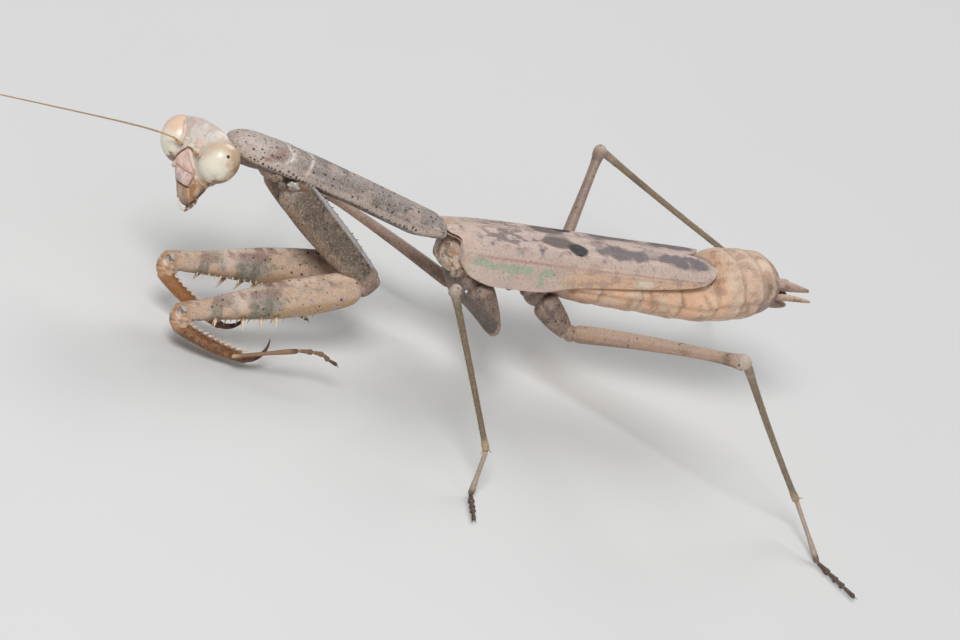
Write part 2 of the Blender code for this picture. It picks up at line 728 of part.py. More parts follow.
def main():
    """Build the mantis."""
    clear_scene()
    root = bpy.data.objects.new("mantis", None)
    bpy.context.collection.objects.link(root)
    finishes = {
        "trunk": finish_of("trunk_cuticle", (0.46, 0.36, 0.33), 0.55),
        "shell": finish_of("face_cuticle", (0.62, 0.50, 0.46), 0.42),
        "eye": finish_of("eye", (0.66, 0.62, 0.50), 0.25),
        "mouth": finish_of("mouth_cuticle", (0.42, 0.24, 0.16), 0.45),
        "fore": finish_of("fore_leg_cuticle", (0.38, 0.34, 0.31), 0.55),
        "femur": finish_of("catching_femur", (0.52, 0.42, 0.34), 0.50),
        "tibia": finish_of("catching_tibia", (0.50, 0.26, 0.13), 0.45),
        "leg": finish_of("walking_femur", (0.42, 0.32, 0.28), 0.55),
        "tibia_leg": finish_of("walking_tibia", (0.48, 0.40, 0.33), 0.55),
        "tarsus": finish_of("tarsus", (0.40, 0.28, 0.20), 0.50),
        "wing": finish_of("tegmen", (0.46, 0.38, 0.34), 0.60),
        "abdomen": finish_of("abdomen_cuticle", (0.66, 0.46, 0.30), 0.50),
        "tail": finish_of("tail_plates", (0.50, 0.36, 0.30), 0.50),
        "antenna": finish_of("antenna", (0.36, 0.22, 0.12), 0.50),
    }
    body = shift(0.0, 0.0, STANCE_HEIGHT) @ rot("Y", -BODY_ROLL)
    back = body @ rot("X", ABDOMEN_PITCH)
    pronotum_place = pronotum(body, finishes["trunk"], root)
    thorax(body, "mesothorax", -2.35, 2.9, finishes["trunk"], root)
    thorax(body, "metathorax", 2.95, 6.2, finishes["trunk"], root)
    abdomen(back, finishes["abdomen"], root)
    for side in ("left", "right"):
        tegmen(side, back, finishes["wing"], root)
    head_place = shift(*HEAD_CENTRE) @ rot("Z", HEAD_YAW) @ rot("X", HEAD_PITCH) @ rot("Y", -HEAD_ROLL)
    head_parts(head_place, finishes["shell"], finishes["eye"], finishes["mouth"], root)
    neck(head_place, pronotum_place, finishes["trunk"], root)
    for side, sign, way in (("left", 1, ANTENNA_LEFT), ("right", -1, ANTENNA_RIGHT)):
        start = head_place @ Vector((sign * ANTENNA_ROOT[0], ANTENNA_ROOT[1] - 0.12, ANTENNA_ROOT[2]))
        arch = 0.95 if side == "right" else 0.0
        antenna("antenna_" + side, start, heading(*way), arch, finishes["antenna"], root)
    front = pronotum_place @ shift(0.0, -PRONOTUM_LENGTH, 0.0)
    for side in ("left", "right"):
        fore_leg(side, front, finishes, root)
    for name, pose in LEG_POSE.items():
        hind = name.startswith("hind")
        lengths = (HIND_FEMUR_LENGTH, HIND_TIBIA_LENGTH) if hind else (MID_FEMUR_LENGTH, MID_TIBIA_LENGTH)
        side = name.split("_")[1]
        walking_leg(name, pose, (HIND_ROOT if hind else MID_ROOT)[side], lengths,
                    HIND_TARSUS if hind else MID_TARSUS, body, finishes, root)
    tail(back, finishes, root)
    centre_over_floor(root)


main()
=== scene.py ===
"""Carolina mantis, life size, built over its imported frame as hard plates, skins, thorns and wings."""

from __future__ import annotations

import logging
import random
from collections.abc import Callable, Sequence
from dataclasses import dataclass, field
from enum import Enum
from math import asin, atan2, copysign, cos, degrees, exp, hypot, pi, radians, sin, sqrt, tau

import bmesh
import bpy
from mathutils import Matrix, Vector, noise

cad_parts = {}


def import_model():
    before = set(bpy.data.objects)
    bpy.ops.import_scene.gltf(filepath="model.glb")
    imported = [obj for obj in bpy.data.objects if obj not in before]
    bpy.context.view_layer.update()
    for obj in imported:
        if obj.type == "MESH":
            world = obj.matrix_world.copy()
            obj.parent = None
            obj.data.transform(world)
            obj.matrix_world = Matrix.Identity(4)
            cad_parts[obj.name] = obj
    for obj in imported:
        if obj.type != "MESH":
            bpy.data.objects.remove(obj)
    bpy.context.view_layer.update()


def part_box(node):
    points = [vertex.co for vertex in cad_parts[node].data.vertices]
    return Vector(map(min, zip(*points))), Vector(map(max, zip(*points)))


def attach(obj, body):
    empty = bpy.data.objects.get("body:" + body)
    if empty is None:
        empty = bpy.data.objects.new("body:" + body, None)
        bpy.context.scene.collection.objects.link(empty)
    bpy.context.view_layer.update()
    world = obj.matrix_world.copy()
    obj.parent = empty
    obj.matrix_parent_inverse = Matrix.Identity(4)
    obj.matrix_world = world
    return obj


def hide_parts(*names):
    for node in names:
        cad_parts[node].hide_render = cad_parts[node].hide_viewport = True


LOG = logging.getLogger("mantis")
MM = 0.001
Piece = bpy.types.Object
Finish = bpy.types.Material
Row = tuple[float, ...]
Rows = Sequence[Row]
Colour = tuple[float, float, float]
Stain = tuple[float, float, float, float]  # a colour and how much of it covers the ground
Paint = Callable[[Vector], Stain]
BARE: Stain = (0.0, 0.0, 0.0, 0.0)
UP = Vector((0.0, 0.0, 1.0))


class Side(Enum):
    """The animal's left is +X and its right is -X."""

    LEFT = 1
    RIGHT = -1

    @property
    def sign(self) -> float:
        """+1 on the left, -1 on the right."""
        return float(self.value)

    @property
    def word(self) -> str:
        """The side's name in lower case."""
        return self.name.lower()


class Pair(Enum):
    """The two pairs of walking legs."""

    MID = "mid"
    HIND = "hind"


# ---- shapes in words


def ease(t: float) -> float:
    """Smooth step from 0 to 1."""
    t = min(max(t, 0), 1)
    return t * t * (3 - 2 * t)


def rise(value: float, start: float, width: float) -> float:
    """0 up to a start, then smoothly to 1 over a width."""
    return ease((value - start) / width)


def fall(value: float, start: float, width: float) -> float:
    """1 far below a start, smoothly down to 0 at it over a width."""
    return ease((start - value) / width)


def dome(near: float) -> float:
    """How full a rounded end is at a share of its reach."""
    return sqrt(max(1.0 - (1.0 - min(near, 1.0)) ** 2, 0.0))


def bump(x: float, centre: float, width: float) -> float:
    """A bell of height 1 round a centre."""
    return exp(-(((x - centre) / width) ** 2))


def blotch(x: float, y: float, cx: float, cy: float, rx: float, ry: float) -> float:
    """A soft oval spot, 1 in its middle and 0 outside."""
    d = ((x - cx) / rx) ** 2 + ((y - cy) / ry) ** 2
    return 1.0 - rise(sqrt(d), 0.55, 0.75)


def curve(table: Rows, t: float) -> Row:
    """Read a table of (t, value, ...) rows along smooth curves that never overshoot.

    Args:
        table: Rows in rising order of their first number.
        t: Where to read it.

    Returns:
        The values at t.
    """
    if t <= table[0][0]:
        return table[0][1:]
    if t >= table[-1][0]:
        return table[-1][1:]
    i = max(k for k in range(len(table) - 1) if table[k][0] <= t)
    span = table[i + 1][0] - table[i][0]
    k = (t - table[i][0]) / span

    def secant(j: int, col: int) -> float:
        """How steep one span is."""
        j = min(max(j, 0), len(table) - 2)
        return (table[j + 1][col] - table[j][col]) / (table[j + 1][0] - table[j][0])

    def slope(j: int, col: int) -> float:
        """How steep the curve is at a row: 0 at a peak."""
        a, b = secant(j - 1, col), secant(j, col)
        return 0.0 if a * b <= 0.0 else 2.0 * a * b / (a + b)

    values = []
    for col in range(1, len(table[0])):
        p0 = table[i][col]
        p1 = table[i + 1][col]
        m0 = slope(i, col) * span
        m1 = slope(i + 1, col) * span
        values.append(p0 * (1 + 2 * k) * (1 - k) ** 2 + m0 * k * (1 - k) ** 2
            + p1 * k * k * (3 - 2 * k) + m1 * k * k * (k - 1))
    return tuple(values)


def over(under: Stain, colour: Colour, amount: float) -> Stain:
    """Lay a colour over a stain.

    Args:
        under: What is there already.
        colour: The new colour.
        amount: How much of it, 0 to 1.

    Returns:
        The two together.
    """
    amount = min(max(amount, 0), 1)
    keep = under[3] * (1 - amount)
    total = keep + amount
    if total < 1e-6:
        return BARE
    mixed = tuple((u * keep + c * amount) / total for u, c in zip(under[:3], colour))
    return (*mixed, total)


def haze(point: Vector, scale: float, seed: float = 0) -> float:
    """Cloudy noise from about 0 to 1 at a point in millimetres."""
    at = point * scale + Vector((seed, 2.3 * seed, -1.7 * seed))
    return 0.5 + 0.5 * noise.fractal(at, 0.8, 2.1, 3)


def mist(point: Vector, scale: float, seed: float, start: float, width: float) -> float:
    """Patches of haze: 0 where it is under a start, then smoothly to 1 over a width."""
    return ease((haze(point, scale, seed) - start) / width)


class Coat:
    """A stain that colours are laid over in turn."""

    def __init__(self, colour: Colour, amount: float) -> None:
        """Lay the first colour."""
        self.stain = over(BARE, colour, amount)

    def __call__(self, colour: Colour, amount: float) -> Stain:
        """Lay one more colour and return the stain so far."""
        self.stain = over(self.stain, colour, amount)
        return self.stain


def near_line(x: float, y: float, points: Rows, width: float) -> float:
    """1 on a line through points, fading to 0 at its width.

    Args:
        x: First coordinate.
        y: Second coordinate.
        points: The line's corners.
        width: Half its breadth.

    Returns:
        How near the place is to the line.
    """
    best = 1e9
    for (x0, y0), (x1, y1) in zip(points, points[1:]):
        dx = x1 - x0
        dy = y1 - y0
        k = min(max(((x - x0) * dx + (y - y0) * dy) / (dx * dx + dy * dy), 0), 1)
        best = min(best, hypot(x - x0 - k * dx, y - y0 - k * dy))
    return 1.0 - ease((best / width - 0.35) / 0.65)


def heading(azimuth: float, elevation: float) -> Vector:
    """Unit vector: azimuth 0 is ahead of the animal, +90 to its left, elevation is up.

    Args:
        azimuth: Its bearing in degrees.
        elevation: Its rise in degrees.

    Returns:
        The vector.
    """
    a = radians(azimuth)
    e = radians(elevation)
    return Vector((sin(a) * cos(e), -cos(a) * cos(e), sin(e)))


def rot(axis: str, angle: float) -> Matrix:
    """Rotation in degrees about a named axis."""
    return Matrix.Rotation(radians(angle), 4, axis)


def shift(x: float, y: float, z: float) -> Matrix:
    """Translation in millimetres."""
    return Matrix.Translation((x, y, z))


def frame_along(start: Vector, direction: Vector, up: Vector) -> Matrix:
    """Frame at a point with +X along a direction and +Z as near to up as it can be.

    Args:
        start: The point.
        direction: Where +X looks.
        up: Where +Z leans.

    Returns:
        The frame.
    """
    x = direction.normalized()
    y = up.cross(x).normalized()
    z = x.cross(y)
    return Matrix.Translation(start) @ Matrix((x, y, z)).transposed().to_4x4()


def oval_point(angle: float, half_y: float, half_z: float, power: float) -> tuple[float, float]:
    """A point of a superellipse; power 1 is an ellipse and less is boxier.

    Args:
        angle: Where round it, in radians.
        half_y: Half width.
        half_z: Half height.
        power: Its roundness.

    Returns:
        Its y and z.
    """
    c = cos(angle)
    s = sin(angle)
    y = half_y * copysign(abs(c) ** power, c)
    z = half_z * copysign(abs(s) ** power, s)
    return y, z


# ---- the bench


class Bench:
    """Adds, shapes, joins and finishes meshes as a modeller does by hand."""

    origin: Vector = Vector((0, 0, 0))

    @staticmethod
    def clear() -> None:
        """Leave edit mode with nothing selected."""
        if bpy.context.object and bpy.context.object.mode != "OBJECT":
            bpy.ops.object.mode_set(mode="OBJECT")
        bpy.ops.object.select_all(action="DESELECT")

    @classmethod
    def pick(cls, *pieces: Piece) -> None:
        """Select just these pieces; the first is active.

        Args:
            pieces: What is selected.
        """
        cls.clear()
        for piece in pieces:
            piece.select_set(True)
        bpy.context.view_layer.objects.active = pieces[0]

    @classmethod
    def modify(cls, piece: Piece, kind: str, **settings: object) -> None:
        """Add a modifier and apply it.

        Args:
            piece: The piece.
            kind: The modifier's type.
            settings: Its values.
        """
        cls.pick(piece)
        modifier = piece.modifiers.new(kind.title(), kind)
        for key, value in settings.items():
            setattr(modifier, key, value)
        bpy.ops.object.modifier_apply(modifier=modifier.name)

    @classmethod
    def close_up(cls, piece: Piece, merge: float = 0.002) -> None:
        """Merge seams and poles and turn every face outwards.

        Args:
            piece: The piece.
            merge: How near points are merged.
        """
        cls.pick(piece)
        bpy.ops.object.mode_set(mode="EDIT")
        bpy.ops.mesh.select_all(action="SELECT")
        bpy.ops.mesh.remove_doubles(threshold=merge)
        bpy.ops.mesh.dissolve_degenerate(threshold=0.2 * merge)
        bpy.ops.mesh.select_all(action="SELECT")
        bpy.ops.mesh.normals_make_consistent(inside=False)
        bpy.ops.object.mode_set(mode="OBJECT")

    @classmethod
    def smooth(cls, piece: Piece, angle: float = 50) -> None:
        """Shade a piece smooth but keep its sharp edges."""
        cls.pick(piece)
        bpy.ops.object.shade_smooth_by_angle(angle=radians(angle))

    @classmethod
    def wrap(cls, name: str, cols: int, rows: int, place: Matrix, surface: Callable[[float, float], Vector],
            paint: Paint | None = None, wall: float = 0) -> Piece:
        """Lay a grid over a surface and close it where it meets itself.

        Args:
            name: The piece's name.
            cols: Cells along u.
            rows: Cells along v.
            place: The surface's own frame, in millimetres.
            surface: Gives a point in that frame for u and v from 0 to 1.
            paint: Gives the stain at that point.
            wall: Thickness of the sheet if it is open.

        Returns:
            The new piece, whose object stands at the origin.
        """
        cls.clear()
        bpy.ops.mesh.primitive_grid_add(x_subdivisions=cols, y_subdivisions=rows, size=1, calc_uvs=True)
        piece = bpy.context.object
        piece.name = name
        piece.data.name = name
        colours = []
        world = Matrix.Translation(cls.origin) @ place
        for vert in piece.data.vertices:
            u = min(max(vert.co.x + 0.5, 0), 1)
            v = min(max(vert.co.y + 0.5, 0), 1)
            local = surface(u, v)
            colours.extend(paint(local) if paint else BARE)
            vert.co = world @ local
        stain = piece.data.attributes.new("stain", "FLOAT_COLOR", "POINT")
        stain.data.foreach_set("color", colours)
        cls.close_up(piece)
        if wall:
            cls.modify(piece, "SOLIDIFY", thickness=wall, offset=-1)
        cls.smooth(piece)
        return piece

    @classmethod
    def join(cls, name: str, pieces: Sequence[Piece]) -> Piece:
        """Join pieces into the first of them.

        Args:
            name: The joined piece's name.
            pieces: What is joined.

        Returns:
            The joined piece.
        """
        cls.pick(*pieces)
        if len(pieces) > 1:
            bpy.ops.object.join()
        piece = bpy.context.object
        piece.name = name
        piece.data.name = name
        return piece

    @classmethod
    def fuse(cls, name: str, pieces: Sequence[Piece], voxel: float, rounds: int) -> Piece:
        """Melt overlapping pieces into one closed skin.

        Args:
            name: The skin's name.
            pieces: The overlapping pieces.
            voxel: Size of its cells in millimetres.
            rounds: How often it is smoothed.

        Returns:
            The skin.
        """
        skin = cls.join(name, pieces)
        cls.modify(skin, "REMESH", mode="VOXEL", voxel_size=voxel)
        if rounds:
            cls.modify(skin, "SMOOTH", factor=0.5, iterations=rounds)
        cls.smooth(skin, 60)
        return skin

    @classmethod
    def stain(cls, piece: Piece, place: Matrix, paint: Paint) -> None:
        """Paint the stain of a finished skin from each point's own place.

        Args:
            piece: The skin.
            place: The frame that the points are read in.
            paint: Gives the stain at a point in millimetres.
        """
        back = (Matrix.Translation(cls.origin) @ place).inverted()
        mesh = piece.data
        if "stain" in mesh.attributes:
            mesh.attributes.remove(mesh.attributes["stain"])
        layer = mesh.attributes.new("stain", "FLOAT_COLOR", "POINT")
        values = []
        for vert in mesh.vertices:
            values.extend(paint(back @ vert.co))
        layer.data.foreach_set("color", values)

    @classmethod
    def copies(cls, model: Piece, places: Sequence[Matrix]) -> list[Piece]:
        """Copy a small model, each copy with its own mesh, and put the model away.

        Args:
            model: A piece modelled at the origin in millimetres.
            places: Where each copy goes.

        Returns:
            The copies.
        """
        made = []
        world = Matrix.Translation(cls.origin)
        for number, place in enumerate(places):
            mesh = model.data.copy()
            mesh.transform(world @ place)
            twin = bpy.data.objects.new(f"{model.name}_{number}", mesh)
            bpy.context.collection.objects.link(twin)
            made.append(twin)
        bpy.data.objects.remove(model, do_unlink=True)
        return made


def thorn(length: float, radius: float, bend: float, sides: int = 8, root: Colour | None = None) -> Piece:
    """Model one curved thorn at the origin, pointing along +Z and bending towards +X.

    Args:
        length: Its height in millimetres.
        radius: Its radius at the root.
        bend: How far its tip leans.
        sides: How many sides it has.
        root: Colour of its foot.

    Returns:
        The model, in millimetres.
    """
    Bench.clear()
    bpy.ops.mesh.primitive_cone_add(vertices=sides, radius1=radius, radius2=radius * 0.75, depth=length * 0.2,
        location=(0, 0, length * 0.1), end_fill_type="TRIFAN")
    piece = bpy.context.object
    piece.name = "thorn"
    bpy.ops.object.transform_apply(location=True, rotation=True, scale=True)
    bpy.ops.object.mode_set(mode="EDIT")
    bpy.ops.mesh.select_mode(type="FACE")
    for step, shrink in ((0.28, 0.72), (0.28, 0.58), (0.24, 0.12)):
        top = max(vert.co.z for vert in bmesh.from_edit_mesh(piece.data).verts)
        bpy.ops.mesh.select_all(action="DESELECT")
        shape = bmesh.from_edit_mesh(piece.data)
        for face in shape.faces:
            face.select = all(vert.co.z > top - 1e-6 for vert in face.verts)
        bmesh.update_edit_mesh(piece.data)
        bpy.ops.mesh.extrude_region_move(TRANSFORM_OT_translate={"value": (bend * step, 0, length * step)})
        bpy.ops.transform.resize(value=(shrink, shrink, 1))
    bpy.ops.object.mode_set(mode="OBJECT")
    Bench.smooth(piece, 70)

    def foot(p: Vector) -> Stain:
        """The root's colour, fading out halfway up."""
        return over(BARE, root, 0.95 - 0.95 * rise(p.z / length, 0.15, 0.35)) if root else BARE

    Bench.stain(piece, Matrix.Translation(-Bench.origin), foot)
    return piece


@dataclass
class Limb:
    """A rounded limb along a path in its own XZ plane."""

    rows: Rows  # t, x, z, half_y, half_z
    power: float = 1.0
    cap: float = 1.0  # roundness of the ends, in units of their half height
    relief: Callable[[float, float], float] | None = None
    paint: Paint | None = None
    cols: int = 40
    sides: int = 24

    def surface(self, u: float, v: float) -> Vector:
        """A point of the limb's skin for u along it and v round it.

        Args:
            u: Share along it.
            v: Share round it.

        Returns:
            The point.
        """
        t = u - 0.1 * sin(tau * u)
        x, z, half_y, half_z = curve(self.rows, t)
        x0, z0 = curve(self.rows, max(t - 0.01, 0))[:2]
        x1, z1 = curve(self.rows, min(t + 0.01, 1))[:2]
        slope = atan2(z1 - z0, x1 - x0)
        length = hypot(self.rows[-1][1] - self.rows[0][1], self.rows[-1][2] - self.rows[0][2])
        near = min(t, 1 - t) * length
        reach = max(self.cap * min(half_y, half_z), 1e-3)
        close = dome(near / reach)
        angle = tau * v - 0.5 * pi
        y, h = oval_point(angle, half_y * close, half_z * close, self.power)
        swell = 1.0 + (self.relief(t, angle) if self.relief else 0)
        y *= swell
        h *= swell
        return Vector((x - h * sin(slope), y, z + h * cos(slope)))

    def make(self, name: str, place: Matrix) -> Piece:
        """Build the limb.

        Args:
            name: Its name.
            place: Its frame, in millimetres.

        Returns:
            The piece.
        """
        return Bench.wrap(name, self.cols, self.sides, place, self.surface, self.paint)

    def seat(self, t: float, around: float, lean: float = 0, sink: float = 0.05) -> Matrix:
        """Frame on the limb's skin, +Z outwards, for a thorn.

        Args:
            t: How far along the limb, 0 to 1.
            around: Where round it, in degrees: 0 is +Y, 90 is up.
            lean: How much it tips along the limb.
            sink: How deep its root sits.

        Returns:
            The frame.
        """
        x, z, half_y, half_z = curve(self.rows, t)
        a = radians(around)
        y, h = oval_point(a, half_y, half_z, self.power)
        way = Vector((lean, cos(a) / half_y, sin(a) / half_z))
        way = Vector((lean * Vector(way.yz).length, way.y, way.z)).normalized()
        root = Vector((x, y, z + h)) - way * sink
        side = way.cross(Vector((1, 0, 0))).normalized()
        ahead = side.cross(way)
        return Matrix.Translation(root) @ Matrix((ahead, side, way)).transposed().to_4x4()


def straight(length: float, stations: Rows, bow: float = 0) -> list[Row]:
    """Rows of a straight limb from stations of t, half_y, half_z (as half_y if left out) and lift (or 0).

    Args:
        length: Its length.
        stations: Its sections.
        bow: How far its middle rises.

    Returns:
        Rows for a Limb.
    """
    full = [(*row, row[1], 0.0)[:4] if len(row) == 2 else (*row, 0.0)[:4] for row in stations]
    rows = []
    for i in range(25):
        t = i / 24
        half_y, half_z, lift = curve(full, t)
        rows.append((t, length * t, lift + bow * 4 * t * (1 - t), half_y, half_z))
    return rows


@dataclass
class Stack:
    """A rounded block in level slices: height, middle x (or 0 if left out), half width, front y, back y."""

    rows: Rows
    power: float = 0.9
    cols: int = 48
    sides: int = 40
    edge: float = 0.06
    relief: Callable[[Vector], Vector] | None = None

    def slice(self, height: float) -> Row:
        """Middle x, half width, front and back at a height."""
        return curve(sorted(row if len(row) == 5 else (row[0], 0.0, *row[1:]) for row in self.rows), height)

    def surface(self, u: float, v: float) -> Vector:
        """A point of the block for u down it and v round it.

        Args:
            u: Share down it.
            v: Share round it.

        Returns:
            The point.
        """
        top = self.rows[0][0]
        low = self.rows[-1][0]
        t = 0.5 - 0.5 * cos(pi * u)
        height = top + (low - top) * (0.6 * t + 0.4 * u)
        x, half, front, back = self.slice(height)
        near = min(top - height, height - low) / self.edge
        close = dome(near)
        a, b = oval_point(tau * v + 0.5 * pi, half * close, 0.5 * (back - front) * close, self.power)
        point = Vector((x + a, 0.5 * (front + back) + b, height))
        return self.relief(point) if self.relief else point

    def front_of(self, x: float, height: float) -> float:
        """How far forward the block's face is at a point.

        Args:
            x: Distance to the side.
            height: How high.

        Returns:
            The y of the face.
        """
        middle, half, front, back = self.slice(height)
        side = min(abs(x - middle) / max(half, 1e-6), 1)
        depth = 0.5 * (back - front) * (1 - side ** (2 / self.power)) ** (self.power / 2)
        return 0.5 * (front + back) - depth

    def inside(self, point: Vector) -> bool:
        """Whether a point lies in the block.

        Args:
            point: The point.

        Returns:
            True if it does.
        """
        if not self.rows[-1][0] < point.z < self.rows[0][0]:
            return False
        middle, half, front, back = self.slice(point.z)
        a = abs(point.x - middle) / half
        b = abs(point.y - 0.5 * (front + back)) / (0.5 * (back - front))
        return a ** (2 / self.power) + b ** (2 / self.power) < 1.0

    def make(self, name: str, place: Matrix, paint: Paint | None = None) -> Piece:
        """Build the block.

        Args:
            name: Its name.
            place: Its frame.
            paint: Its stain at a point.

        Returns:
            The piece.
        """
        return Bench.wrap(name, self.cols, self.sides, place, self.surface, paint)


def ball(name: str, place: Matrix, half: Row, cols: int = 24, rows: int = 24,
        relief: Callable[[Vector], float] | None = None, paint: Paint | None = None) -> Piece:
    """A rounded lump with its poles along Z.

    Args:
        name: Its name.
        place: Its frame.
        half: Its three half sizes.
        cols: Cells from pole to pole.
        rows: Cells round it.
        relief: How much it swells at a point of the unit ball.
        paint: Its stain at a point.

    Returns:
        The piece.
    """

    def surface(u: float, v: float) -> Vector:
        """A point of the lump.

        Args:
            u: Share from pole to pole.
            v: Share round it.

        Returns:
            The point.
        """
        a = pi * u
        b = tau * v
        point = Vector((sin(a) * cos(b), sin(a) * sin(b), cos(a)))
        swell = 1.0 + (relief(point) if relief else 0)
        return Vector(c * h * swell for c, h in zip(point, half))

    return Bench.wrap(name, cols, rows, place, surface, paint)


def ridge(name: str, place: Matrix, points: Sequence[Vector], radius: float, sides: int = 8,
        paint: Paint | None = None, taper: float = 0.02) -> Piece:
    """A thin raised line through points, tapered at both ends.

    Args:
        name: Its name.
        place: The frame of the points.
        points: Its path.
        radius: Its half thickness.
        sides: Its sides.
        paint: Its stain at a point.
        taper: How thick its very ends are, as a share of its middle.

    Returns:
        The piece.
    """
    count = len(points) - 1
    frames = []
    for i in range(count + 1):
        way = (points[min(i + 1, count)] - points[max(i - 1, 0)]).normalized()
        side = way.cross(Vector((0.13, 0.97, 0.2))).normalized()
        frames.append((points[i], side, way.cross(side)))

    def surface(u: float, v: float) -> Vector:
        """A point of the line's skin.

        Args:
            u: Share along it.
            v: Share round it.

        Returns:
            The point.
        """
        point, side, lift = frames[round(u * count)]
        r = radius * min(1, taper + 5 * min(u, 1 - u))
        if u < 1e-6 or u > 1.0 - 1e-6:
            r = 0.0
        a = tau * v
        return point + side * (r * cos(a)) + lift * (r * sin(a))

    return Bench.wrap(name, count, sides, place, surface, paint)


# ---- shader maths


class Sock:
    """A shader value that can be added, multiplied and compared like a number."""

    def __init__(self, recipe: Recipe, socket: bpy.types.NodeSocket) -> None:
        """Wrap a socket of a recipe."""
        self.recipe = recipe
        self.socket = socket

    def _math(self, operation: str, first: object, second: object) -> Sock:
        """One Math node."""
        return self.recipe.node("ShaderNodeMath", {"operation": operation}, {0: first, 1: second})

    def __add__(self, other: object) -> Sock:
        """Sum."""
        return self._math("ADD", self, other)

    __radd__ = __add__

    def __mul__(self, other: object) -> Sock:
        """Product."""
        return self._math("MULTIPLY", self, other)

    __rmul__ = __mul__

    def __sub__(self, other: object) -> Sock:
        """Difference."""
        return self._math("SUBTRACT", self, other)

    def __rsub__(self, other: object) -> Sock:
        """Difference from a number."""
        return self._math("SUBTRACT", other, self)

    def __pow__(self, other: object) -> Sock:
        """Power."""
        return self._math("POWER", self, other)

    def step(self, low: float, high: float) -> Sock:
        """A smooth step from 0 at low to 1 at high."""
        return self.recipe.node("ShaderNodeMapRange", {"interpolation_type": "SMOOTHSTEP"},
            {0: self, 1: low, 2: high, 3: 0, 4: 1})


class Recipe:
    """Builds one material's nodes."""

    def __init__(self, name: str) -> None:
        """Start a material with an empty Principled surface.

        Args:
            name: The material's name.
        """
        self.material = bpy.data.materials.new(name)
        self.material.use_nodes = True
        self.tree = self.material.node_tree
        self.surface = self.tree.nodes["Principled BSDF"]

    def node(self, kind: str, settings: dict[str, object], inputs: dict[int | str, object], out: int | str = 0) -> Sock:
        """Add any node.

        Args:
            kind: Its type.
            settings: Values set on the node before its sockets.
            inputs: Numbers, colours or links for its sockets.
            out: Which output is wanted.

        Returns:
            That output.
        """
        made = self.tree.nodes.new(kind)
        for key, value in settings.items():
            setattr(made, key, value)
        for key, value in inputs.items():
            self.feed(made.inputs[key], value)
        return Sock(self, made.outputs[out])

    def feed(self, socket: bpy.types.NodeSocket, value: object) -> None:
        """Link or set one input.

        Args:
            socket: The input.
            value: A link, number or colour.
        """
        if isinstance(value, Sock):
            self.tree.links.new(value.socket, socket)
        elif isinstance(value, tuple) and len(value) == 3 and socket.type == "RGBA":
            socket.default_value = (*value, 1)
        else:
            socket.default_value = value

    def fix(self, values: dict[str, object]) -> None:
        """Set the surface's own constants by socket name."""
        for key, value in values.items():
            self.surface.inputs[key].default_value = value

    def paint_with(self, colour: Sock, rough: Sock) -> None:
        """Link the surface's colour and roughness."""
        self.feed(self.surface.inputs["Base Color"], colour)
        self.feed(self.surface.inputs["Roughness"], rough)

    def point(self) -> Sock:
        """The surface point in millimetres."""
        place = self.node("ShaderNodeTexCoord", {}, {}, "Object")
        return self.node("ShaderNodeVectorMath", {"operation": "SCALE"}, {0: place, "Scale": 1000})

    def grain(self, point: Sock, scale: float, detail: float = 3, rough: float = 0.55) -> Sock:
        """Noise from 0 to 1."""
        return self.node("ShaderNodeTexNoise", {}, {"Vector": point, "Scale": scale, "Detail": detail,
            "Roughness": rough})

    def blend(self, factor: Sock | float, first: object, second: object) -> Sock:
        """Mix two colours."""
        return self.node("ShaderNodeMix", {"data_type": "RGBA"}, {0: factor, 6: first, 7: second}, 2)

    def stain(self) -> tuple[Sock, Sock]:
        """The piece's painted colour and how much of it there is.

        Returns:
            Colour and amount.
        """
        painted = self.tree.nodes.new("ShaderNodeAttribute")
        painted.attribute_name = "stain"
        return Sock(self, painted.outputs["Color"]), Sock(self, painted.outputs["Alpha"])

    def specks(self, point: Sock, scale: float, size: float, share: float) -> Sock:
        """Scattered round dots, each of its own size.

        Args:
            point: Where they are read.
            scale: Cells per millimetre.
            size: Radius of the largest in cells.
            share: Share of cells that have one.

        Returns:
            1 on a dot.
        """
        cell = self.tree.nodes.new("ShaderNodeTexVoronoi")
        self.feed(cell.inputs["Vector"], point)
        cell.inputs["Scale"].default_value = scale
        cell.inputs["Randomness"].default_value = 0.9
        chance = self.node("ShaderNodeSeparateColor", {}, {0: Sock(self, cell.outputs["Color"])})
        radius = (chance - (1 - share)) * (size / share)
        return (radius - Sock(self, cell.outputs["Distance"])).step(0, 0.06)

    def relief(self, height: Sock, depth: float, strength: float = 1) -> None:
        """Bump the surface by a height of 0 to 1 times a depth in millimetres.

        Args:
            height: The height.
            depth: Its depth.
            strength: How strongly it shows.
        """
        normal = self.node("ShaderNodeBump", {}, {"Height": height, "Distance": depth * MM, "Strength": strength})
        self.feed(self.surface.inputs["Normal"], normal)


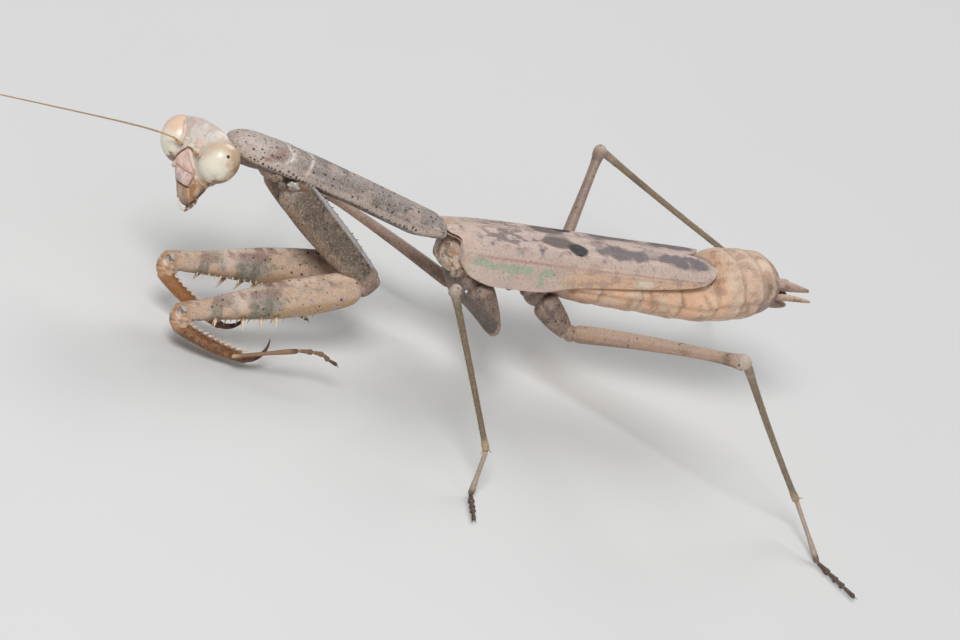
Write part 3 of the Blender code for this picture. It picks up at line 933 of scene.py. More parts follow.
@dataclass(frozen=True)
class Cuticle:
    """Hard skin: a ground colour, cloudy shade, painted stain, dots, grain and gloss."""

    name: str
    ground: Colour
    shade: Colour
    dark: Colour = (0.035, 0.024, 0.02)
    cloud: float = 0.6
    cloud_scale: float = 0.9
    dots: float = 0.0
    dot_scale: float = 1.3
    dot_size: float = 0.16
    rough: float = 0.5
    grain: float = 0.03
    grain_scale: float = 7.0
    speckle: float = 0.3
    edge: float = 1.1
    edge_scale: float = 2.6
    coat: float = 0.0
    glow: float = 0.08

    def make(self) -> Finish:
        """Build the material.

        Returns:
            The material.
        """
        recipe = Recipe(self.name)
        point = recipe.point()
        cloud = recipe.grain(point, self.cloud_scale, 5, 0.62)
        fine = recipe.grain(point, self.grain_scale, 4, 0.6)
        colour = recipe.blend(cloud.step(0.38, 0.66) * self.cloud, self.ground, self.shade)
        paint, amount = recipe.stain()
        wobble = (recipe.grain(point, self.edge_scale, 4, 0.65) - 0.5) * self.edge
        amount = amount + amount * (1 - amount) * 4.0 * wobble
        colour = recipe.blend(amount.step(0, 1), colour, paint)
        # Pale flecks where the fine noise is low, scattered at random.
        pale_flecked = recipe.blend(fine.step(0.5, 0.3) * self.speckle * 0.6, colour, (0.92, 0.84, 0.76))
        colour = recipe.blend(fine.step(0.52, 0.76) * self.speckle, pale_flecked, self.dark)
        if self.dots:
            dots = recipe.specks(point, self.dot_scale, self.dot_size, self.dots)
            small = recipe.specks(point, self.dot_scale * 2.1, self.dot_size, self.dots)
            colour = recipe.blend(dots * 0.85, colour, self.dark)
            colour = recipe.blend(small * 0.6, colour, self.dark)
        recipe.paint_with(colour, fine * 0.22 + (self.rough - 0.11))
        pits = recipe.node("ShaderNodeTexVoronoi", {}, {"Vector": point, "Scale": self.grain_scale * 0.8})
        recipe.relief(fine * 0.7 + pits * 0.6 + cloud * 0.8, self.grain)
        recipe.fix({"Subsurface Weight": self.glow, "Subsurface Radius": (0.0007, 0.0004, 0.0003),
            "Subsurface Scale": 0.6, "Coat Weight": self.coat, "Coat Roughness": 0.25, "Specular IOR Level": 0.45})
        return recipe.material


# ---- the animal's frames


@dataclass(frozen=True)
class Stance:
    """Where each part of the body stands, in millimetres, before the shift over the floor."""

    height: float = 9.8
    lean: float = 9.5
    abdomen_pitch: float = 4.7
    pronotum_length: float = 19.8
    pronotum_pitch: float = 11.7
    pronotum_rear: Row = (0, -2.75, 0.9)
    head_centre: Row = (0.2, -24.4, 13.35)
    head_turn: Row = (20, 6.4, 13)
    eye_offset: Row = (2.24, -0.1, 0.2)
    eye_tilt: Row = (22, 9)

    @property
    def body(self) -> Matrix:
        """Middle of the mesothorax."""
        return shift(0, 0, self.height) @ rot("Y", -self.lean)

    @property
    def back(self) -> Matrix:
        """The folded wings' and abdomen's frame."""
        return self.body @ rot("X", self.abdomen_pitch)

    @property
    def pronotum(self) -> Matrix:
        """The pronotum's rear edge; its front edge is at local y = -length."""
        return self.body @ shift(*self.pronotum_rear) @ rot("X", -self.pronotum_pitch)

    @property
    def front(self) -> Matrix:
        """The pronotum's front edge."""
        return self.pronotum @ shift(0, -self.pronotum_length, 0)

    @property
    def head(self) -> Matrix:
        """Middle of the head."""
        yaw, pitch, roll = self.head_turn
        return shift(*self.head_centre) @ rot("Z", yaw) @ rot("X", pitch) @ rot("Y", -roll)

    def eye(self, side: Side) -> Matrix:
        """Middle of an eye.

        Args:
            side: Which side.

        Returns:
            Its frame.
        """
        x, y, z = self.eye_offset
        seat = self.head @ shift(side.sign * x, y, z)
        return seat @ rot("Y", side.sign * self.eye_tilt[0]) @ rot("X", -self.eye_tilt[1])

    def over_floor(self) -> Vector:
        """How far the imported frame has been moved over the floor.

        Returns:
            The shift, in millimetres.
        """
        low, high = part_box("eye_left")
        here = self.eye(Side.LEFT).translation
        return (low + high) * (0.5 / MM) - here


@dataclass
class Maker:
    """What every sub-assembly shares: the stance and the finishes."""

    stance: Stance
    finishes: dict[str, Finish]

    def dress(self, piece: Piece, finish: str) -> Piece:
        """Give a piece its one finish.

        Args:
            piece: The piece.
            finish: The finish's plain name.

        Returns:
            The piece.
        """
        piece.data.materials.clear()
        piece.data.materials.append(self.finishes[finish])
        return piece

    def present(self, piece: Piece, finish: str, slot: str, *nodes: str) -> Piece:
        """Dress a piece, bring it to metres and set it on the body.

        Args:
            piece: The piece, in millimetres.
            finish: Its finish, or "" if it is dressed already.
            slot: The record's material slot; not used.
            nodes: The frame's nodes that it stands for.

        Returns:
            The piece.
        """
        if finish:
            self.dress(piece, finish)
        piece.data.transform(Matrix.Scale(MM, 4))
        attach(piece, "root")
        if nodes:
            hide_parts(*nodes)
        LOG.info("%s: %d faces", piece.name, len(piece.data.polygons))
        return piece

    def scatter(self, name: str, model: Piece, seats: Sequence[Matrix], finish: str, slot: str) -> None:
        """Set a copy of a small model on each seat and present them as one piece.

        Args:
            name: The piece's name.
            model: What is copied.
            seats: Where the copies go.
            finish: Their finish.
            slot: The record's material slot.
        """
        self.present(Bench.join(name, Bench.copies(model, seats)), finish, slot)


# ---- head

CREAM = (0.84, 0.75, 0.63)
VERTEX = (0.68, 0.6, 0.53)
LILAC = (0.58, 0.46, 0.42)
PINK = (0.9, 0.58, 0.47)
RUST = (0.5, 0.27, 0.14)
BROWN = (0.16, 0.085, 0.045)
INK = (0.035, 0.02, 0.013)


@dataclass
class Head(Maker):
    """The triangular head: capsule with raised eye rims, eyes, mouthparts and feelers."""

    eye_half: dict[Side, Row] = field(
        default_factory=lambda: {Side.LEFT: (1.41, 1.54, 1.7), Side.RIGHT: (1.41, 1.54, 1.8)})
    rim: float = 0.15
    antenna_length: float = 21.0
    antenna_ways: dict[Side, Row] = field(default_factory=lambda: {Side.LEFT: (62.2, 25.9), Side.RIGHT: (-6, -2.95)})
    capsule: Stack = field(default_factory=lambda: Stack(rows=((2.38, 0.85, -0.02, 0.45), (2.28, 1.65, -0.2, 0.8),
        (1.95, 2.3, -0.48, 1.15), (1.3, 2.55, -0.74, 1.4), (0.75, 2.54, -1.02, 1.48), (0.3, 2.46, -1.18, 1.5),
        (-0.4, 2.32, -1.26, 1.45), (-1.2, 2.02, -1.26, 1.28), (-1.65, 1.82, -1.22, 1.1), (-2.05, 1.55, -1.16, 0.86),
        (-2.45, 1.22, -1.08, 0.52), (-2.66, 1, -1.02, 0.3)), power=0.92, cols=80, sides=80))

    def eye_seat(self, side: Side) -> Matrix:
        """Middle of an eye; the left one sits a little further back."""
        return self.stance.eye(side) @ shift(0, 0.13 if side is Side.LEFT else 0, 0.04)

    def eye_point(self, side: Side, way: Vector) -> Vector:
        """Point of an eye's surface in the head's frame, along a direction from its middle.

        Args:
            side: Which side.
            way: The direction.

        Returns:
            The point.
        """
        seat = self.stance.head.inverted() @ self.eye_seat(side)
        turn = seat.to_3x3().inverted()
        local = turn @ way
        k = sqrt(sum((c / h) ** 2 for c, h in zip(local, self.eye_half[side])))
        return seat.translation + way / k

    def rim_line(self, side: Side, count: int = 72) -> list[Vector]:
        """Where an eye leaves the capsule, as a closed line in the head's frame.

        Args:
            side: Which side.
            count: How many steps it has.

        Returns:
            The line.
        """
        axis = Vector((side.sign * 0.88, -0.42, -0.05)).normalized()
        first = (UP - axis * UP.dot(axis)).normalized()
        second = axis.cross(first)
        points = []
        for i in range(count + 1):
            a = tau * i / count
            spoke = first * cos(a) + second * sin(a)
            low = 0.1
            high = pi * 0.9
            for _ in range(18):
                mid = 0.5 * (low + high)
                point = self.eye_point(side, axis * cos(mid) + spoke * sin(mid))
                if self.capsule.inside(point):
                    high = mid
                else:
                    low = mid
            points.append(self.eye_point(side, axis * cos(low) + spoke * sin(low)))
        return points

    @staticmethod
    def spread(corners: Sequence[Vector], count: int) -> list[Vector]:
        """A smooth line of evenly read points through a few corners."""
        table = [(i / (len(corners) - 1), *c) for i, c in enumerate(corners)]
        return [Vector(curve(table, i / count)) for i in range(count + 1)]

    def face_paint(self, p: Vector) -> Stain:
        """Colours of the capsule: pale vertex, pink shield, lilac clypeus, rusty cheeks, with painted highlights on the
        clypeus and the near brow ridge, and painted shade on the far brow ridge and under the rear of the head.

        Args:
            p: A point, in millimetres.

        Returns:
            Its stain.
        """
        x = abs(p.x)
        ahead = 1.0 - rise(p.y, -0.45, 0.4)
        coat = Coat(VERTEX, 0.5)
        streak = haze(Vector((p.x * 4.5, p.y * 0.5, p.z * 0.7)), 1, 3)
        coat(LILAC, 0.55 * rise(streak, 0.48, 0.26) * rise(p.z, 0.6, 0.9))
        patch = haze(p, 0.9, 13)
        coat((0.74, 0.5, 0.38), 0.55 * mist(p, 1.3, 29, 0.54, 0.12) * rise(p.z, 0.5, 0.5))
        coat((0.6, 0.52, 0.49), 0.55 * rise(patch, 0.5, 0.16) * rise(p.z, 0.9, 0.6))
        coat((0.86, 0.8, 0.74), 0.5 * fall(patch, 0.48, 0.14) * rise(p.z, 0.4, 0.6))
        cheek = fall(p.z, -1.12, 0.25)
        coat((0.54, 0.32, 0.18), 0.85 * cheek * rise(x, 0.95, 0.15))
        coat((0.62, 0.4, 0.25), 0.8 * cheek * blotch(p.y, p.z, -0.75, -1.85, 0.35, 0.5))
        coat(INK, 0.75 * cheek * mist(p, 1.3, 4, 0.5, 0.14) * rise(p.y, -0.7, 0.5))
        # Dark under the rear of the head, towards the neck: painted shade on the throat.
        coat((0.16, 0.09, 0.05), 0.8 * fall(p.z, -0.85, 0.3) * rise(p.y, 0, 0.6) * fall(p.y, 1.25, 0.3))
        top = 0.66 - 1.02 * x
        shield = ease((top - p.z) / 0.1) * rise(p.z, -1.06, 0.08) * fall(x, 1.3, 0.1)
        coat(PINK, 0.95 * shield * ahead)
        warm = haze(p, 1.6, 8)
        coat((0.7, 0.4, 0.33), 0.7 * shield * ahead * rise(warm, 0.5, 0.12))
        coat(CREAM, 0.45 * shield * ahead * blotch(x, p.z, 0.3, -0.35, 0.35, 0.42))
        clypeus = fall(p.z, -1.12, 0.1) * ease((1.14 - 0.34 * (-1.2 - p.z) - x) / 0.08) * rise(p.z, -2.32, 0.06)
        coat((0.72, 0.5, 0.43), 0.95 * clypeus * ahead)
        # Two pale vertical stripes on the clypeus: painted highlights.
        coat((0.8, 0.66, 0.62), 0.8 * clypeus * ahead * (bump(p.x, 0.28, 0.16) + bump(p.x, -0.45, 0.14)))
        coat((0.4, 0.28, 0.29), 0.6 * clypeus * ahead * rise(warm, 0.5, 0.1))
        near = 1.0 if p.x > 0.0 else 0.0
        lines = (
            # points, width, colour, amount
            # Far side: the dark chevron along the brow ridge, partly the dark suture and partly painted shade on the
            # ridge's shaded side.
            (((0, 0.7), (0.64, 0.05), (1.24, -0.7), (1.46, -0.92)), 0.13, BROWN, 0.98 * (1 - near)),
            # Near side: a short dark piece, then the ridge painted cream as a painted highlight on its lit side, with a
            # thin brown line.
            (((0, 0.7), (0.22, 0.62), (0.6, 0.52)), 0.12, BROWN, 0.95 * near),
            (((0.2, 0.48), (0.64, 0.05), (1.2, -0.66), (1.29, -1.08)), 0.13, (0.84, 0.7, 0.58), 0.6 * near),
            (((0.24, 0.3), (0.6, -0.08), (1.08, -0.7), (1.14, -1)), 0.07, (0.45, 0.2, 0.13), 0.6 * near),
            (((0, -1.1), (0.7, -1.09), (1.26, -1.12)), 0.06, (0.32, 0.17, 0.09), 0.95),
            (((1.16, -1.08), (1.34, -1.14)), 0.13, (0.8, 0.66, 0.52), 0.6),
            (((0, -2.28), (0.55, -2.24), (0.82, -2.02), (1.1, -1.25)), 0.06, (0.33, 0.17, 0.08), 0.95),
            (((1.3, -1.22), (1.42, -1.45), (1.3, -1.75)), 0.07, (0.86, 0.76, 0.62), 0.8),
        )
        for points, width, colour, amount in lines:
            coat(colour, amount * ahead * near_line(x, p.z, points, width))
        if p.z > 0.2 and p.x < 0.0:
            coat((0.72, 0.46, 0.3), 0.6 * near_line(p.x, p.z, ((-2.05, 0.2), (-1.95, 1), (-1.7, 1.9)), 0.22))
            coat(BROWN, near_line(p.x, p.z, ((-2.02, 1.1), (-1.95, 1.42)), 0.1))
        return coat.stain

    def make_capsule(self) -> None:
        """Capsule, eye rims, antenna sockets and ocellus mounds melted into one skin."""
        head = self.stance.head
        pieces = [self.capsule.make("capsule", head)]
        for side in Side:
            line = self.rim_line(side)
            pieces.append(ridge("rim", head, line, self.rim, 10, taper=1))
            socket = frame_along(Vector((side.sign * 0.68, -1.02, 0.56)), Vector((0, -1, 0.15)), UP)
            pieces.append(Limb(straight(0.46, ((0, 0.44), (1, 0.26))), cap=0.4, cols=12, sides=20).make("socket",
                head @ socket @ shift(-0.32, 0, 0)))
            pieces.append(ball("mound", head @ shift(side.sign * 0.66, -0.76, 1.02), (0.26, 0.24, 0.24), 12, 16))
            cheek = [Vector((side.sign * x, y, z)) for x, y, z in ((0.02, -1.16, 0.66), (0.34, -1.24, 0.36),
                (0.66, -1.32, 0.04), (0.98, -1.3, -0.36), (1.08, -1.2, -0.62))]
            pieces.append(ridge("brow_edge", head, self.spread(cheek, 24), 0.07, 8, taper=0.6))
            gena = [Vector((side.sign * x, y, z)) for x, y, z in ((1.1, -1.08, -1.24), (1.56, -0.98, -1.42),
                (1.78, -0.55, -1.66), (1.82, 0, -1.72), (1.7, 0.55, -1.62))]
            pieces.append(ridge("gena_edge", head, self.spread(gena, 24), 0.13, 8, taper=0.6))
        pieces.append(ball("mound", head @ shift(0, -1, 0.8), (0.22, 0.22, 0.22), 12, 16))
        plate = Stack(rows=((0.66, 0.1, -1.08, -0.8), (0.36, 0.36, -1.22, -0.8), (-0.05, 0.74, -1.34, -0.8),
            (-0.6, 1.1, -1.36, -0.8), (-0.98, 1.14, -1.3, -0.8), (-1.08, 1.02, -1.18, -0.8)), power=0.62, cols=24,
            sides=48)
        pieces.append(plate.make("shield", head))
        brow = Stack(rows=((-1.14, 1.1, -1.22, -0.6), (-1.26, 1.12, -1.36, -0.6), (-1.7, 0.98, -1.42, -0.6),
            (-2.1, 0.82, -1.34, -0.6), (-2.26, 0.74, -1.2, -0.6)), power=0.66, cols=24, sides=40)
        pieces.append(brow.make("clypeus", head))
        skin = Bench.fuse("head_capsule", pieces, 0.055, 3)
        Bench.stain(skin, head, self.face_paint)
        self.present(skin, "face", "face_cuticle", "head")

    def eye_paint(self, side: Side) -> Paint:
        """Colours of one eye: cream, tan towards its top and brown below its dark pupil spot, with grey-green painted
        shade on its lower front.

        Args:
            side: Which side.

        Returns:
            What gives the stain at a point of the eye.
        """
        spot = Vector((side.sign * 0.78, -0.54, 1.38)).normalized()

        def paint(p: Vector) -> Stain:
            """Colours at a point of the eye.

            Args:
                p: A point, in millimetres.

            Returns:
                Its stain.
            """
            unit = p.normalized()
            murk = haze(p, 1.4, 5) - 0.5
            coat = Coat((0.76, 0.66, 0.51), 0.7)
            coat((0.84, 0.79, 0.66), 0.7 * ease((0.35 - unit.y - 0.6 * unit.z) / 0.9))
            # Greyer, greener lower front: painted shade.
            coat((0.62, 0.59, 0.46), 0.5 * ease((murk - unit.z) / 0.5) * fall(unit.y, -0.1, 0.5))
            if side is Side.LEFT:
                rear = unit.dot(Vector((0.5, 0.71, 0.49)))
                low = unit.dot(Vector((0.7, 0, -0.72)))
                coat((0.6, 0.47, 0.32), 0.6 * ease((low - 0.45 + 0.4 * murk) / 0.4))
                coat((0.7, 0.49, 0.34), 0.75 * ease((-low - 0.2 + 0.6 * murk) / 0.6))
                coat((0.56, 0.39, 0.24), 0.95 * ease((rear - 0.12 + 0.7 * murk) / 0.6))
                coat((0.27, 0.17, 0.09), 0.8 * ease((rear + 0.3 * low - 0.78 + 0.9 * murk) / 0.3))
                coat((0.2, 0.1, 0.05), 0.9 * ease((low - 0.74 + 0.6 * murk) / 0.22))
            else:
                coat((0.9, 0.58, 0.42), 0.85 * ease((unit.z - 0.2 + 0.8 * murk) / 0.5))
                coat((0.2, 0.1, 0.05), 0.9 * ease((-0.6 - unit.z + murk) / 0.24))
            coat((0.012, 0.009, 0.008), 1 - ease(((unit - spot).length - 0.062) / 0.04))
            return coat.stain

        return paint

    def make_eyes(self) -> None:
        """Two smooth egg-shaped eyes."""
        for side in Side:
            eye = ball("eye_skin_" + side.word, self.eye_seat(side), self.eye_half[side], 96, 96,
                relief=lambda q: 0.012 * sin(2 * q.z), paint=self.eye_paint(side))
            self.present(eye, "eye", "eye", "eye_" + side.word)

    def make_ocelli(self) -> None:
        """Three glossy simple eyes on the vertex."""
        head = self.stance.head
        places = ((0.66, -0.92, 1.08), (-0.66, -0.92, 1.08), (0, -1.17, 0.84))
        beads = [ball("ocellus", head @ shift(*p), (0.15, 0.14, 0.14), 10, 14) for p in places]
        self.present(Bench.join("ocelli", beads), "ocellus", "eye")

    def make_mouth(self) -> None:
        """Labrum in front, mandibles at the sides and four jointed palps."""
        head = self.stance.head
        labrum = Stack(rows=((-2.26, 0.66, -1.18, -0.75), (-2.4, 0.76, -1.3, -0.6), (-2.9, 0.74, -1.22, -0.5),
            (-3.35, 0.66, -1.08, -0.45), (-3.7, 0.52, -0.92, -0.42), (-3.92, 0.32, -0.8, -0.44),
            (-4, 0.14, -0.72, -0.48)), power=0.72, cols=40, sides=44)

        def lip(p: Vector) -> Stain:
            """Brown lip with dark streaks, one orange edge and one pale edge.

            Args:
                p: A point, in millimetres.

            Returns:
                Its stain.
            """
            coat = Coat((0.5, 0.3, 0.18), 0.8)
            coat((0.58, 0.41, 0.34), 0.6 * mist(p, 1.6, 3, 0.5, 0.12))
            streak = haze(Vector((p.x * 3, p.y, p.z * 0.7)), 1, 9)
            coat((0.32, 0.19, 0.12), 0.7 * rise(streak, 0.5, 0.12))
            coat((0.2, 0.11, 0.07), 0.6 * fall(p.z, -3.1, 0.5))
            coat((0.7, 0.42, 0.24), 0.8 * ease((p.x - 0.65 + 0.16 * fall(p.z, -3.2, 0.6)) / 0.08))
            coat((0.66, 0.52, 0.46), 0.8 * fall(p.x, -0.5, 0.1))
            coat(BROWN, 0.9 * bump(p.z, -2.3, 0.07))
            return coat((0.1, 0.05, 0.03), fall(p.z, -3.72, 0.12))

        def jaw_paint(p: Vector) -> Stain:
            """Rusty jaw with a pale patch and a black edge.

            Args:
                p: A point, in millimetres.

            Returns:
                Its stain.
            """
            coat = Coat((0.38, 0.17, 0.06), 0.85)
            coat((0.72, 0.48, 0.32), 0.8 * blotch(p.y, p.z, -0.62, -2.3, 0.26, 0.55))
            coat((0.66, 0.36, 0.16), 0.6 * mist(p, 1.5, 2, 0.5, 0.1))
            edge = near_line(p.y, p.z, ((0.12, -2.15), (-0.4, -3.45), (-0.55, -3.75)), 0.13)
            return coat(INK, 0.95 * edge)

        pieces = [self.dress(labrum.make("labrum", head, lip), "mouth")]
        for side in Side:
            s = side.sign
            jaw = Stack(rows=((-1.52, 1 * s, 0.26, -0.98, 0.05), (-2.15, 0.84 * s, 0.5, -1.04, 0.14),
                (-2.7, 0.66 * s, 0.46, -0.95, -0.08), (-3.25, 0.48 * s, 0.34, -0.8, -0.26), (-3.62, 0.34 * s, 0.18,
                -0.68, -0.4), (-3.74, 0.28 * s, 0.08, -0.62, -0.46)), power=0.82, cols=36, sides=36, edge=0.1)
            pieces.append(self.dress(jaw.make("mandible", head, jaw_paint), "mouth"))
        maxilla = Stack(rows=((-1.95, 1.18, -0.35, 0.8), (-2.5, 1.12, -0.4, 0.56), (-3.05, 0.9, -0.45, 0.22),
            (-3.6, 0.62, -0.5, -0.02), (-4, 0.38, -0.55, -0.18), (-4.16, 0.16, -0.5, -0.28)), power=0.85, cols=36,
            sides=40, edge=0.12)

        def dusk(p: Vector) -> Stain:
            """Dusky plates with a pale rim.

            Args:
                p: A point, in millimetres.

            Returns:
                Its stain.
            """
            coat = Coat((0.11, 0.06, 0.045), 0.9)
            coat((0.36, 0.24, 0.19), 0.8 * mist(p, 1.5, 7, 0.5, 0.1))
            rim = near_line(p.y, p.z, ((0.7, -2.15), (0.22, -2.85), (-0.1, -3.3)), 0.12)
            return coat((0.66, 0.54, 0.47), 0.9 * rim * rise(p.x, 0.3, 0.2))

        pieces.append(self.dress(maxilla.make("maxillae", head, dusk), "mouth"))
        pieces += self.palp(Side.LEFT, (0.62, -0.1, -3.05),
            ((0.4, 60, -58), (0.48, 10, -50), (0.5, -20, -42), (0.42, -60, -40)), 0.115)
        pieces += self.palp(Side.RIGHT, (0.62, -0.4, -3), ((0.4, 30, -58), (0.45, -10, -50)), 0.115)
        pieces += self.palp(Side.LEFT, (0.3, -0.3, -3.65), ((0.36, 10, -60), (0.38, -20, -50)), 0.1)
        spike = [Vector((-0.3, -0.96, -3.55)), Vector((-0.26, -1.02, -3.85)), Vector((-0.12, -0.86, -4.22)),
            Vector((0.02, -0.62, -4.52))]
        pale = ridge("palp_tip", head, self.spread(spike, 20), 0.075, 10,
            lambda p: over(BARE, (0.84, 0.74, 0.6), 0.95), 0.5)
        pieces.append(self.dress(pale, "mouth"))
        self.present(Bench.join("mouthparts_detail", pieces), "", "mouth_cuticle", "mouthparts")

    def palp(self, side: Side, root: Row, joints: Rows, radius: float) -> list[Piece]:
        """One chain of beads: each joint has a length, an azimuth and an elevation.

        Args:
            side: Which side it hangs on.
            root: Where it starts, for the left side.
            joints: Its joints.
            radius: Their half thickness.

        Returns:
            The joints.
        """
        at = Vector((root[0] * side.sign, root[1], root[2]))
        pieces = []
        for number, (length, azimuth, climb) in enumerate(joints):
            way = heading(azimuth * side.sign, climb)
            r = radius * (1 - 0.08 * number)
            bead = Limb(straight(length, ((0, r * 0.7), (0.7, r * 1.1), (1, r * 0.8))), cols=12, sides=12,
                paint=lambda p, reach=length: Coat(BROWN, 0.85)((0.66, 0.5, 0.36), ease((p.x / reach - 0.62) / 0.2)))
            pieces.append(self.dress(bead.make("palp", self.stance.head @ frame_along(at, way,
                Vector((0.1, 0.2, 1)))), "mouth"))
            at = at + way * length * 0.93
        return pieces

    def make_antennae(self) -> None:
        """Scape, pedicel and a long beaded flagellum on each side."""
        for side in Side:
            left = side is Side.LEFT
            base = self.stance.head @ Vector((side.sign * 0.68, -1.16, 0.54))
            scape_way = heading(93, 10) if left else heading(-20, 21)
            start = base + scape_way * 0.85
            place = frame_along(start, heading(*self.antenna_ways[side]), UP)
            arch = 0.0 if left else 0.4
            k = 1.0 if left else 0.74
            reach = self.antenna_length - 0.8
            rows = []
            count = 150
            for i in range(count + 1):
                x = reach * (i / count) ** 1.25
                z = arch * (1 - exp(-12 * x / reach))
                bead = 0.01 * cos(tau * x / 0.42) * rise(x, 0.8, 1)
                half = 0.072 - 0.04 * x / reach + bead
                rows.append((i / count, x, z, half, half))

            def paint(p: Vector) -> Stain:
                """Dark brown thread with paler rings, rusty at its root.

                Args:
                    p: A point, in millimetres.

                Returns:
                    Its stain.
                """
                coat = Coat((0.3, 0.17, 0.08), 0.9)
                coat((0.56, 0.33, 0.15), 0.9 * (1 - rise(p.x, 0.5, 1.2)))
                return coat((0.5, 0.38, 0.24), 0.6 * (0.5 + 0.5 * cos(tau * p.x / 0.42)))

            def root(p: Vector) -> Stain:
                """Rusty first joints with dark seams."""
                coat = Coat((0.5, 0.27, 0.12), 0.9)
                return coat(BROWN, 0.9 * (bump(p.x, 0, 0.1) + bump(p.x, 0.66, 0.05)))

            feeler = Limb(rows, cols=300, sides=10, paint=paint).make("feeler", place)
            widths = ((0, 0.13), (0.2, 0.17), (0.6, 0.165), (0.7, 0.1), (0.8, 0.115), (1, 0.085))
            scape = Limb(straight(1, [(t, w * k, w * k, 0) for t, w in widths]), cols=30, sides=16,
                paint=root).make("scape", frame_along(base, scape_way, UP))
            self.present(Bench.join("feeler_" + side.word, [feeler, scape]), "antenna", "antenna",
                "antenna_" + side.word)

    def make_neck(self) -> None:
        """Soft folded skin between the head and the pronotum."""
        start = self.stance.head @ Vector((0, 0.95, -0.05))
        end = self.stance.pronotum @ Vector((0, -self.stance.pronotum_length + 1.2, -0.12))
        reach = (end - start).length
        rows = straight(reach, ((0, 1.05, 0.95), (0.3, 1, 0.8, -0.05), (0.6, 1.2, 0.62, -0.05), (1, 1.05, 0.42)))
        skin = Limb(rows, power=0.9, cap=0.5, cols=64, sides=48,
            relief=lambda t, a: 0.05 * sin(30 * t + 1.3 * sin(2 * a)) + 0.03 * sin(5 * a),
            paint=lambda p: Coat((0.55, 0.4, 0.34), 0.7)((0.3, 0.19, 0.14), 0.7 * mist(p, 1.2, 5, 0.52, 0.2)))
        piece = skin.make("neck_skin", frame_along(start, end - start, UP))
        self.present(piece, "soft", "trunk_cuticle", "neck")

    def make(self) -> None:
        """Build the whole head."""
        self.make_capsule()
        self.make_eyes()
        self.make_ocelli()
        self.make_mouth()
        self.make_antennae()
        self.make_neck()


# ---- trunk


